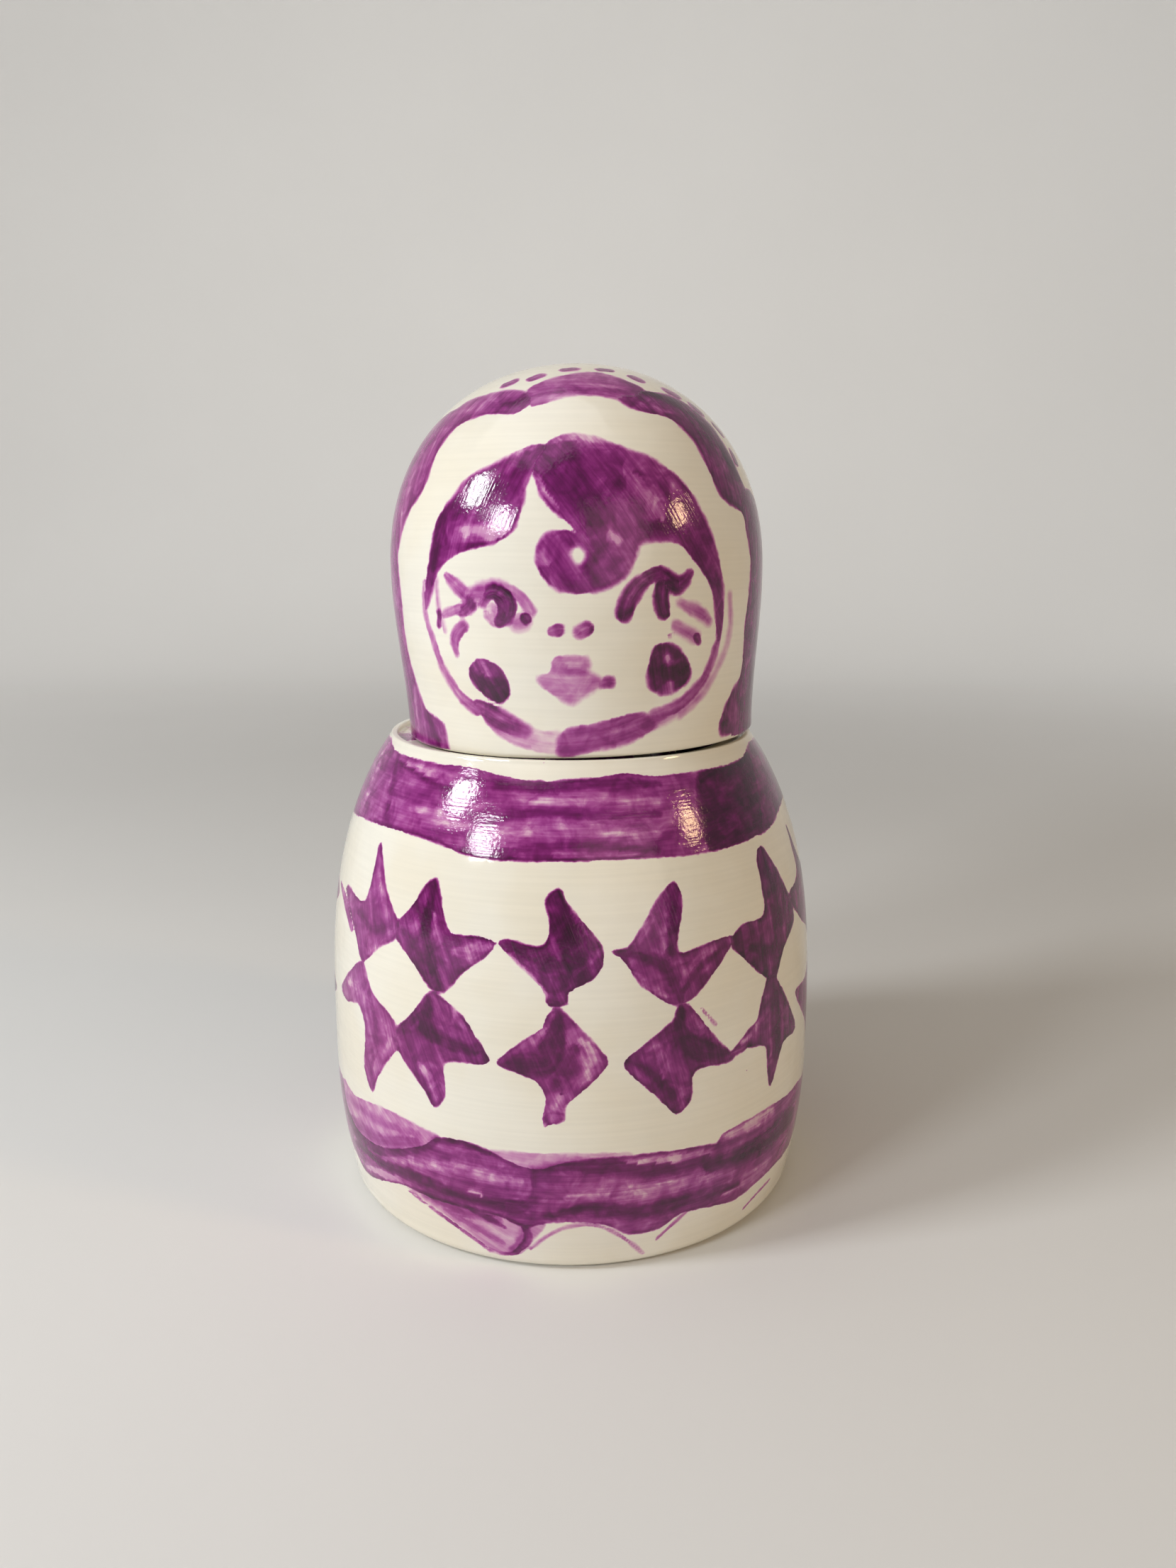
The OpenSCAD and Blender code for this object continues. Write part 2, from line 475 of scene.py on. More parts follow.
class Sketch:
    """Adds and links the nodes of one tree."""

    def __init__(self, tree: bpy.types.NodeTree) -> None:
        """Takes the tree to draw in."""
        self.tree = tree

    def add(self, kind: str, **settings: object) -> bpy.types.Node:
        """Adds a node.

        Args:
            kind: Blender's name for it
            settings: its own properties

        Returns:
            The node.
        """
        node = self.tree.nodes.new(kind)
        for name, value in settings.items():
            setattr(node, name, value)
        return node

    def feed(self, socket: Socket, value: Feed) -> None:
        """Links a socket to an input, or sets it."""
        if isinstance(value, Socket):
            self.tree.links.new(value, socket)
        else:
            socket.default_value = value

    def run(self, kind: str, feeds: Dict[str, Feed], out: Union[int, str] = 0, **settings: object) -> Socket:
        """Adds a node and feeds it.

        Args:
            kind: Blender's name for the node
            feeds: what goes into its inputs, by name
            out: which output to give back
            settings: the node's own properties

        Returns:
            That output.
        """
        node = self.add(kind, **settings)
        for name, value in feeds.items():
            self.feed(node.inputs[name], value)
        return node.outputs[out]

    def math(self, operation: str, *values: Feed, clamp: bool = False) -> Socket:
        """Adds a Math node.

        Args:
            operation: what it does
            values: its inputs in order
            clamp: whether the result is kept from 0 to 1

        Returns:
            Its result.
        """
        node = self.add("ShaderNodeMath", operation=operation, use_clamp=clamp)
        for socket, value in zip(node.inputs, values):
            self.feed(socket, value)
        return node.outputs[0]

    def vector(self, operation: str, *values: Feed) -> Socket:
        """Adds a Vector Math node.

        Args:
            operation: what it does
            values: its inputs in order, a scale among them

        Returns:
            Its result.
        """
        node = self.add("ShaderNodeVectorMath", operation=operation)
        sockets = [s for s in node.inputs if s.enabled]
        for socket, value in zip(sockets, values):
            self.feed(socket, value)
        return next(s for s in node.outputs if s.enabled)

    def times(self, *values: Feed) -> Socket:
        """The product of values."""
        return reduce(lambda a, b: self.math("MULTIPLY", a, b), values)

    def plus(self, *values: Feed) -> Socket:
        """The sum of values."""
        return reduce(lambda a, b: self.math("ADD", a, b), values)

    def centred(self, noise: Feed) -> Socket:
        """A noise moved down, so that it is about 0 on average."""
        return self.math("SUBTRACT", noise, 0.5)

    def split(self, vector: Feed) -> List[Socket]:
        """The three values of a vector.

        Args:
            vector: what is taken apart

        Returns:
            X, Y and Z.
        """
        node = self.add("ShaderNodeSeparateXYZ")
        self.feed(node.inputs[0], vector)
        return [node.outputs[axis] for axis in "XYZ"]

    def carried(self, name: str, out: str = "Fac") -> Socket:
        """What a material reads from the mesh's own values."""
        return self.run("ShaderNodeAttribute", {}, out, attribute_name=name)

    def join(self, x: Feed, y: Feed, z: Feed) -> Socket:
        """Makes a vector of three values."""
        return self.run("ShaderNodeCombineXYZ", {"X": x, "Y": y, "Z": z})

    def noise(self, place: Feed, scale: Feed, detail: float, seed: Feed = 0.0, twist: float = 0.0) -> Socket:
        """Adds a four-dimensional noise.

        Args:
            place: where it is read
            scale: how fine it is
            detail: its octaves
            seed: where along the fourth dimension it is read
            twist: how far it swirls

        Returns:
            Its value, about 0.5 on average.
        """
        feeds = {"Vector": place, "W": seed, "Scale": scale, "Detail": detail, "Distortion": twist}
        return self.run("ShaderNodeTexNoise", feeds, noise_dimensions="4D")

    def remap(self, value: Feed, low: Feed, high: Feed, to_low: Feed = 0.0, to_high: Feed = 1.0) -> Socket:
        """Adds a smooth Map Range.

        Args:
            value: what is mapped
            low: value that gives to_low
            high: value that gives to_high
            to_low: result at the low end
            to_high: result at the high end

        Returns:
            The mapped value.
        """
        feeds = {"Value": value, "From Min": low, "From Max": high, "To Min": to_low, "To Max": to_high}
        return self.run("ShaderNodeMapRange", feeds, interpolation_type="SMOOTHSTEP")

    def blend(self, factor: Feed, first: Feed, second: Feed) -> Socket:
        """Mixes two colours.

        Args:
            factor: share of the second
            first: a colour
            second: a colour

        Returns:
            The mixed colour.
        """
        node = self.add("ShaderNodeMix", data_type="RGBA")
        named = {s.identifier: s for s in node.inputs}
        self.feed(named["Factor_Float"], factor)
        self.feed(named["A_Color"], first)
        self.feed(named["B_Color"], second)
        return next(s for s in node.outputs if s.identifier == "Result_Color")


class TurnedShellTree:
    """Geometry Nodes that turn an outline of rows into a closed shell."""

    NAME = "turned_shell"
    SEED_STEP = 3.7
    MERGE_GAP = 0.5e-6
    SOCKETS = {
        "Outline": "NodeSocketGeometry",
        "Segments": "NodeSocketInt",
        "Front Focus": "NodeSocketFloat",
        "Unevenness": "NodeSocketFloat",
        "Unevenness Scale": "NodeSocketFloat",
        "Seed": "NodeSocketInt",
        "Material": "NodeSocketMaterial",
    }

    def __init__(self) -> None:
        """Builds the tree."""
        self.tree = bpy.data.node_groups.new(self.NAME, "GeometryNodeTree")
        self.tree.is_modifier = True
        self.ids: Dict[str, str] = {}
        for name, kind in self.SOCKETS.items():
            socket = self.tree.interface.new_socket(name, in_out="INPUT", socket_type=kind)
            self.ids[name] = socket.identifier
        self.tree.interface.new_socket("Shell", in_out="OUTPUT", socket_type="NodeSocketGeometry")
        self._draw()

    def _draw(self) -> None:
        """Lays the nodes: a sheet of rows and segments, wrapped round the axis and closed."""
        s = Sketch(self.tree)
        given = s.add("NodeGroupInput").outputs
        outline = given["Outline"]
        rows = s.run("GeometryNodeAttributeDomainSize", {"Geometry": outline}, "Point Count")
        columns = s.plus(given["Segments"], 1)
        counts = {"Size X": 1.0, "Size Y": 1.0, "Vertices X": columns, "Vertices Y": rows}
        sheet = s.run("GeometryNodeMeshGrid", counts, "Mesh")
        flat_x, flat_y, _ = s.split(s.run("GeometryNodeInputPosition", {}))
        row = s.math("ROUND", s.times(s.plus(flat_y, 0.5), s.math("SUBTRACT", rows, 1)))
        turn = s.times(flat_x, 2 * math.pi)
        azimuth = s.math("SUBTRACT", turn, s.times(given["Front Focus"], s.math("SINE", turn)))
        spot = self._row_value(s, outline, s.run("GeometryNodeInputPosition", {}), row, "FLOAT_VECTOR")
        radius, _, height = s.split(spot)
        painted = self._row_value(s, outline, self._named(s, "painted"), row, "FLOAT")
        bare = self._row_value(s, outline, self._named(s, "bare"), row, "FLOAT")
        seed = s.times(given["Seed"], self.SEED_STEP)
        wave = s.noise(self._wrapped(s, radius, azimuth, height), given["Unevenness Scale"], 1.0, seed)
        sink = s.times(wave, given["Unevenness"], painted)
        place = self._wrapped(s, s.math("SUBTRACT", radius, sink), azimuth, height)
        shell = s.run("GeometryNodeSetPosition", {"Geometry": sheet, "Position": place})
        for name, value in (("painted", painted), ("bare", bare)):
            stored = {"Geometry": shell, "Name": name, "Value": value}
            shell = s.run("GeometryNodeStoreNamedAttribute", stored)
        shell = s.run("GeometryNodeMergeByDistance", {"Geometry": shell, "Distance": self.MERGE_GAP})
        shell = s.run("GeometryNodeSetShadeSmooth", {"Geometry": shell, "Shade Smooth": True})
        shell = s.run("GeometryNodeRealizeInstances", {"Geometry": shell})
        shell = s.run("GeometryNodeSetMaterial", {"Geometry": shell, "Material": given["Material"]})
        s.feed(s.add("NodeGroupOutput").inputs[0], shell)

    @staticmethod
    def _named(s: Sketch, name: str) -> Socket:
        """A value that each row carries."""
        return s.run("GeometryNodeInputNamedAttribute", {"Name": name}, data_type="FLOAT")

    @staticmethod
    def _row_value(s: Sketch, rows: Feed, value: Feed, row: Feed, kind: str) -> Socket:
        """Reads what one row of the outline carries.

        Args:
            s: the sketch to draw in
            rows: the outline
            value: what is read from it
            row: which row
            kind: the value's data type

        Returns:
            The row's value.
        """
        node = s.add("GeometryNodeSampleIndex", data_type=kind, domain="POINT")
        s.feed(node.inputs["Geometry"], rows)
        s.feed(node.inputs["Index"], row)
        s.feed(next(i for i in node.inputs if i.name == "Value" and i.enabled), value)
        return next(o for o in node.outputs if o.enabled)

    @staticmethod
    def _wrapped(s: Sketch, radius: Feed, azimuth: Feed, height: Feed) -> Socket:
        """Place at a radius, an azimuth from the front and a height."""
        x, y = s.math("SINE", azimuth), s.times(s.math("COSINE", azimuth), -1.0)
        return s.join(s.times(radius, x), s.times(radius, y), height)

    def turn(
        self, name: str, outline: Array, material: bpy.types.Material, values: Dict[str, float]
    ) -> bpy.types.Object:
        """Turns an outline into a plain mesh object at the origin.

        Args:
            name: the piece's name
            outline: radius, height, bare and painted, one row each
            material: the shell's finish
            values: the tree's other inputs, by name

        Returns:
            The piece.
        """
        strip = bpy.data.meshes.new(f"{name}_outline")
        spots = np.column_stack([outline[:, 0], np.zeros(len(outline)), outline[:, 1]])
        strip.from_pydata(spots.tolist(), [(k, k + 1) for k in range(len(spots) - 1)], [])
        for column, label in ((2, "bare"), (3, "painted")):
            carried = strip.attributes.new(label, "FLOAT", "POINT")
            carried.data.foreach_set("value", outline[:, column].astype(np.float32))
        holder = bpy.data.objects.new(f"{name}_outline", strip)
        bpy.context.scene.collection.objects.link(holder)
        modifier = holder.modifiers.new("turn", "NODES")
        modifier.node_group = self.tree
        modifier[self.ids["Material"]] = material
        for label, value in values.items():
            modifier[self.ids[label]] = value
        bpy.context.view_layer.update()
        mesh = bpy.data.meshes.new_from_object(holder.evaluated_get(bpy.context.evaluated_depsgraph_get()))
        mesh.name = name
        bpy.data.objects.remove(holder)
        bpy.data.meshes.remove(strip)
        piece = bpy.data.objects.new(name, mesh)
        bpy.context.scene.collection.objects.link(piece)
        return piece


class PaintGround:
    """The outside of the outer doll's body or head as a ground for paint, in millimetres.

    Attributes:
        MARCH: depths at which a ray from the lens is tried
        FALL: how fast the radius falls above the top
        ON_AXIS: radius below which a place counts as on the axis
    """

    MARCH = np.linspace(110.0, 330.0, 551)
    FALL = 4.0
    ON_AXIS = 1e-6

    def __init__(self, profile: Array, placement: Matrix, camera: PhotoCamera, round_top: bool) -> None:
        """Takes the ground's shape and place.

        Args:
            profile: radius and height in metres, from the bottom up
            placement: where the shell lies in the part's frame
            camera: the photograph's camera
            round_top: whether it is the dome, which is charted from its face
        """
        self.heights = profile[:, 1] / MM
        self.radii = profile[:, 0] / MM
        self.round_top = round_top
        self.middle = FORM.head_mid_h / MM if round_top else FORM.belly_h / MM
        self.camera = camera
        back = placement.inverted()
        self.eye = np.array(back @ Vector(camera.eye())) / MM
        self.turn = np.array(back.to_3x3())

    def radius(self, heights: Array) -> Array:
        """Outside radius at heights, falling away fast above the top."""
        over = np.clip(heights - self.heights[-1], 0, None)
        return np.interp(heights, self.heights, self.radii) - self.FALL * over

    def from_photo(self, pixels: Array) -> Tuple[Array, Array]:
        """Carries pixels onto the ground. One that misses goes to the nearest edge in sight.

        Args:
            pixels: places on the photograph, one row each

        Returns:
            Places on the ground, and millimetres in a pixel at each.
        """
        ways = self.camera.rays(pixels) @ self.turn.T
        spots = self.eye + ways[:, None, :] * self.MARCH[None, :, None]
        gaps = np.hypot(spots[..., 0], spots[..., 1]) - self.radius(spots[..., 2])
        met = gaps < 0
        near = np.where(met.any(1), np.argmax(met, 1), np.argmin(gaps, 1))
        pick = np.arange(len(pixels))
        last = np.maximum(near - 1, 0)
        before, after = gaps[pick, last], gaps[pick, near]
        step = np.where(met.any(1), before / np.maximum(before - after, TINY), 1.0)
        depth = self.MARCH[last] + step * (self.MARCH[near] - self.MARCH[last])
        places = self.eye + ways * depth[:, None]
        return self.settled(places), depth / self.camera.focal_px

    def settled(self, places: Array) -> Array:
        """Moves places straight in or out onto the ground.

        Args:
            places: one place a row

        Returns:
            Places on the ground.
        """
        reach = np.maximum(np.hypot(places[:, 0], places[:, 1]), self.ON_AXIS)
        ratio = np.maximum(self.radius(places[:, 2]), 0.0) / reach
        return np.column_stack([places[:, 0] * ratio, places[:, 1] * ratio, places[:, 2]])

    def from_round(self, azimuths: Array, heights: Array) -> Array:
        """Places at azimuths in degrees from the front and heights in millimetres.

        Args:
            azimuths: one for each place
            heights: one for each place

        Returns:
            Places on the ground.
        """
        turn = np.radians(azimuths)
        radius = self.radius(heights)
        return np.column_stack([radius * np.sin(turn), -radius * np.cos(turn), heights])

    def chart(self, places: Array) -> Array:
        """Lays places out flat, for telling inside from outside.

        Args:
            places: places on the ground

        Returns:
            Two values a row.
        """
        if not self.round_top:
            return np.column_stack([np.degrees(np.arctan2(places[:, 0], -places[:, 1])), places[:, 2]])
        way = places - np.array([0.0, 0.0, self.middle])
        way = way / np.linalg.norm(way, axis=1, keepdims=True)
        spread = np.arccos(np.clip(-way[:, 1], -1, 1))
        turn = np.arctan2(way[:, 2], way[:, 0])
        return np.column_stack([spread * np.cos(turn), spread * np.sin(turn)])

    def outward(self, places: Array) -> Array:
        """Directions out of the ground, close enough to tell left from right of a stroke.

        Args:
            places: places on the ground

        Returns:
            One direction a row.
        """
        way = places - np.array([0.0, 0.0, self.middle])
        if not self.round_top:
            way[:, 2] = 0.0
        return way / np.maximum(np.linalg.norm(way, axis=1, keepdims=True), TINY)


def smooth_line(points: Array, spacing: float, closed: bool) -> Array:
    """Runs a smooth curve through points.

    Args:
        points: one place a row
        spacing: about how far apart the new points are
        closed: whether it comes back to its start

    Returns:
        The new points.
    """
    if closed:
        padded = np.concatenate([points[-1:], points, points[:2]])
    else:
        padded = np.concatenate([2 * points[:1] - points[1:2], points, 2 * points[-1:] - points[-2:-1]])
    made = []
    for a, b, c, d in zip(padded, padded[1:], padded[2:], padded[3:]):
        chord = np.linalg.norm(c - b)
        leave, arrive = (
            way * min(1.0, chord / max(np.linalg.norm(way), TINY)) for way in ((c - a) / 2, (d - b) / 2)
        )
        steps = max(1, int(math.ceil(chord / spacing)))
        t = (np.arange(steps) / steps)[:, None]
        square, cube = 3 * (c - b) - 2 * leave - arrive, 2 * (b - c) + leave + arrive
        made.append(b + leave * t + square * t**2 + cube * t**3)
    if not closed:
        made.append(points[-1:])
    return np.concatenate(made)


@dataclass(frozen=True)
class Trace:
    """A line on the ground: pixels of the photograph, or azimuths and heights round the doll."""

    numbers: Tuple[float, ...]
    on_photo: bool = True
    spacing: float = 10.0
    round_scale: float = 0.125
    round_spacing: float = 2.0

    def lay(self, ground: PaintGround, closed: bool = False) -> Tuple[Array, Array]:
        """Carries the line onto the ground.

        Args:
            ground: what it lies on
            closed: whether it comes back to its start

        Returns:
            Places, and millimetres in a pixel at each.
        """
        points = np.array(self.numbers, float).reshape(-1, 2)
        if self.on_photo:
            return ground.from_photo(smooth_line(points, self.spacing, closed))
        points = smooth_line(points, self.round_spacing, closed)
        return ground.from_round(points[:, 0], points[:, 1]), np.full(len(points), self.round_scale)


class PaintCoat:
    """The paint of one shell, point by point: distance to the nearest edge, and the stroke there."""

    FAR = 9.0
    BLANK = (FAR, 0.0, 0.0, 0.0)
    MARGIN = 2.5

    def __init__(self, ground: PaintGround, places: Array) -> None:
        """Starts with no paint.

        Args:
            ground: the form that the marks lie on
            places: the shell's points in the ground's own millimetres
        """
        self.ground = ground
        self.places = places
        self.charts = ground.chart(places)
        self.outs = ground.outward(places)
        blank = np.tile(self.BLANK, (len(places), 1))
        self.sheets: Dict[PaintLayer, Array] = {layer: blank.copy() for layer in PaintLayer}

    def near(self, line_places: Array, reach: float) -> Array:
        """Points close enough to a line to matter.

        Args:
            line_places: the line
            reach: how far from it

        Returns:
            Their indices.
        """
        low = line_places.min(0) - reach
        high = line_places.max(0) + reach
        return np.flatnonzero(((self.places > low) & (self.places < high)).all(1))

    def lay(self, layer: PaintLayer, pick: Array, stroke: Array) -> None:
        """Lays a stroke where it reaches further than what is there.

        Args:
            layer: the coat that takes it
            pick: indices of points
            stroke: distance, along, across and tone at each
        """
        sheet = self.sheets[layer]
        better = stroke[:, 0] < sheet[pick, 0]
        sheet[pick[better]] = stroke[better]


def spread(amounts: Amounts, shares: Array) -> Array:
    """Spreads one or more amounts evenly over a line's length."""
    values = np.atleast_1d(np.asarray(amounts, float))
    return np.interp(shares, np.linspace(0, 1, len(values)), values)


@dataclass(frozen=True)
class BrushMark:
    """One stroke of the brush along a line, with half widths in pixels."""

    name: str
    layer: PaintLayer
    tones: Amounts
    widths: Amounts
    trace: Trace

    def lay_on(self, coat: PaintCoat) -> None:
        """Lays the stroke on a coat.

        Args:
            coat: the coat that takes it
        """
        spots, scale = self.trace.lay(coat.ground)
        lengths = np.linalg.norm(np.diff(spots, axis=0), axis=1)
        along = np.concatenate([[0.0], np.cumsum(lengths)])
        shares = along / max(along[-1], TINY)
        halves = spread(self.widths, shares) * scale
        tones = spread(self.tones, shares)
        pick = coat.near(spots, halves.max() + coat.MARGIN)
        points, outs = coat.places[pick], coat.outs[pick]
        best = np.tile(coat.BLANK, (len(pick), 1))
        for k in range(len(spots) - 1):
            run = spots[k + 1] - spots[k]
            off = points - spots[k]
            t = np.clip(off @ run / max(run @ run, TINY_SQUARE), 0, 1)
            off = off - t[:, None] * run
            gap = np.linalg.norm(off, axis=1)
            reach = gap - (halves[k] + t * (halves[k + 1] - halves[k]))
            side = np.sign(np.einsum("ij,ij->i", np.cross(run, off), outs))
            tone = tones[k] + t * (tones[k + 1] - tones[k])
            stroke = np.column_stack([reach, along[k] + t * lengths[k], gap * side, tone])
            better = reach < best[:, 0]
            best[better] = stroke[better]
        coat.lay(self.layer, pick, best)


@dataclass(frozen=True)
class PatchMark:
    """An area filled by the brush, with its grain as a step in pixels on the photograph."""

    name: str
    layer: PaintLayer
    tones: Amounts
    grain: Pair
    edges: Tuple[Trace, ...]
    holes: Tuple[Trace, ...] = ()

    def lay_on(self, coat: PaintCoat) -> None:
        """Lays the area on a coat.

        Args:
            coat: the coat that takes it
        """
        if len(self.edges) == 1:
            rim = self.edges[0].lay(coat.ground, closed=True)[0]
        else:
            rim = np.concatenate([edge.lay(coat.ground)[0] for edge in self.edges])
        pick = coat.near(rim, coat.MARGIN)
        points = coat.places[pick]
        reach = self._signed(coat, pick, rim)
        for hole in self.holes:
            reach = np.maximum(reach, -self._signed(coat, pick, hole.lay(coat.ground, closed=True)[0]))
        middle = rim.mean(0)
        right, up, _ = coat.ground.camera.axes()
        way = coat.ground.turn @ (self.grain[0] * right - self.grain[1] * up)
        out = coat.ground.outward(middle[None])[0]
        way = way - (way @ out) * out
        way = way / np.linalg.norm(way)
        along = (points - middle) @ way
        across = (points - middle) @ np.cross(out, way)
        span = along[reach < 0] if (reach < 0).any() else along
        shares = (along - span.min()) / max(np.ptp(span), TINY) if len(span) else along
        coat.lay(self.layer, pick, np.column_stack([reach, along, across, spread(self.tones, shares)]))

    @staticmethod
    def _signed(coat: PaintCoat, pick: Array, rim: Array) -> Array:
        """Distance to a closed edge, less than nothing inside it.

        Args:
            coat: the coat that the points belong to
            pick: indices of points
            rim: the edge's places

        Returns:
            One distance for each point.
        """
        points, charts = coat.places[pick], coat.charts[pick]
        ring = coat.ground.chart(rim)
        if not coat.ground.round_top:
            start = ring[0, 0]
            for table in (ring, charts):
                table[:, 0] = (table[:, 0] - start + 180) % 360 - 180
        gap = np.full(len(pick), coat.FAR)
        inside = np.zeros(len(pick), bool)
        for k in range(len(rim)):
            n = (k + 1) % len(rim)
            run = rim[n] - rim[k]
            off = points - rim[k]
            t = np.clip(off @ run / max(run @ run, TINY_SQUARE), 0, 1)
            gap = np.minimum(gap, np.linalg.norm(off - t[:, None] * run, axis=1))
            (x0, y0), (x1, y1) = ring[k], ring[n]
            if y0 != y1:
                crosses = (y0 > charts[:, 1]) != (y1 > charts[:, 1])
                inside ^= crosses & (charts[:, 0] < x0 + (charts[:, 1] - y0) * (x1 - x0) / (y1 - y0))
        return np.where(inside, -gap, gap)


@dataclass(frozen=True)
class BandMark:
    """A band all round the body: its edges in sight are traced, and the back follows a rule.

    Attributes:
        scallop: how deep the lower edge is scalloped at the back, in millimetres
        wander: how far the hand strays at the back, in millimetres
        wander_turn: how often it does so
    """

    name: str
    layer: PaintLayer
    tone: float
    upper: Trace
    lower: Trace
    scallop: float = 0.0
    scallops: int = 6
    wander: float = 0.5
    wander_turn: float = 21.0
    back_points: int = 60

    def lay_on(self, coat: PaintCoat) -> None:
        """Lays the band on a coat.

        Args:
            coat: the coat that takes it
        """
        azimuths, heights = coat.charts[:, 0], coat.charts[:, 1]
        top = np.interp(azimuths, *self._edge(coat, self.upper, 0.0), period=360)
        low = np.interp(azimuths, *self._edge(coat, self.lower, self.scallop), period=360)
        reach = np.maximum(heights - top, low - heights)
        along = np.radians(azimuths) * coat.ground.radii.max()
        stroke = np.column_stack([reach, along, heights, np.full(len(heights), self.tone)])
        coat.lay(self.layer, np.arange(len(heights)), stroke)

    def _edge(self, coat: PaintCoat, trace: Trace, scallop: float) -> Tuple[Array, Array]:
        """One edge all round.

        Args:
            coat: the coat that takes the band
            trace: the edge in sight
            scallop: how deep the back of it is scalloped

        Returns:
            Azimuths in degrees and heights in millimetres.
        """
        seen = coat.ground.chart(trace.lay(coat.ground)[0])
        seen = seen[np.argsort(seen[:, 0])]
        back = np.linspace(seen[-1, 0], seen[0, 0] + 360, self.back_points)[1:-1]
        share = (back - seen[-1, 0]) / (seen[0, 0] + 360 - seen[-1, 0])
        rise = seen[-1, 1] + (seen[0, 1] - seen[-1, 1]) * share
        wave = self.wander * np.sin(share * self.wander_turn) * np.sin(share * math.pi)
        hang = scallop * np.abs(np.sin(share * math.pi * self.scallops))
        return np.concatenate([seen[:, 0], back]), np.concatenate([seen[:, 1], rise + wave + hang])


Mark = Union[BrushMark, PatchMark, BandMark]
Marks = Tuple[Mark, ...]
WASH, BRUSH, LOAD = PaintLayer.WASH, PaintLayer.BRUSH, PaintLayer.LOAD


def wash(name: str, tones: Amounts, widths: Amounts, *pixels: float) -> BrushMark:
    """A thin stroke along pixels of the photograph."""
    return BrushMark(name, WASH, tones, widths, Trace(pixels))


def brush(name: str, tones: Amounts, widths: Amounts, *pixels: float) -> BrushMark:
    """A full stroke along pixels of the photograph."""
    return BrushMark(name, BRUSH, tones, widths, Trace(pixels))


def load(name: str, tones: Amounts, widths: Amounts, *pixels: float) -> BrushMark:
    """A stroke that adds to the paint under it, or lifts it where the tone is negative."""
    return BrushMark(name, LOAD, tones, widths, Trace(pixels))


def patch(
    name: str, layer: PaintLayer, tones: Amounts, grain: Pair, *pixels: float, hole: Tuple[float, ...] = ()
) -> PatchMark:
    """An area inside pixels of the photograph, with one hole at most."""
    return PatchMark(name, layer, tones, grain, (Trace(pixels),), (Trace(hole),) if hole else ())


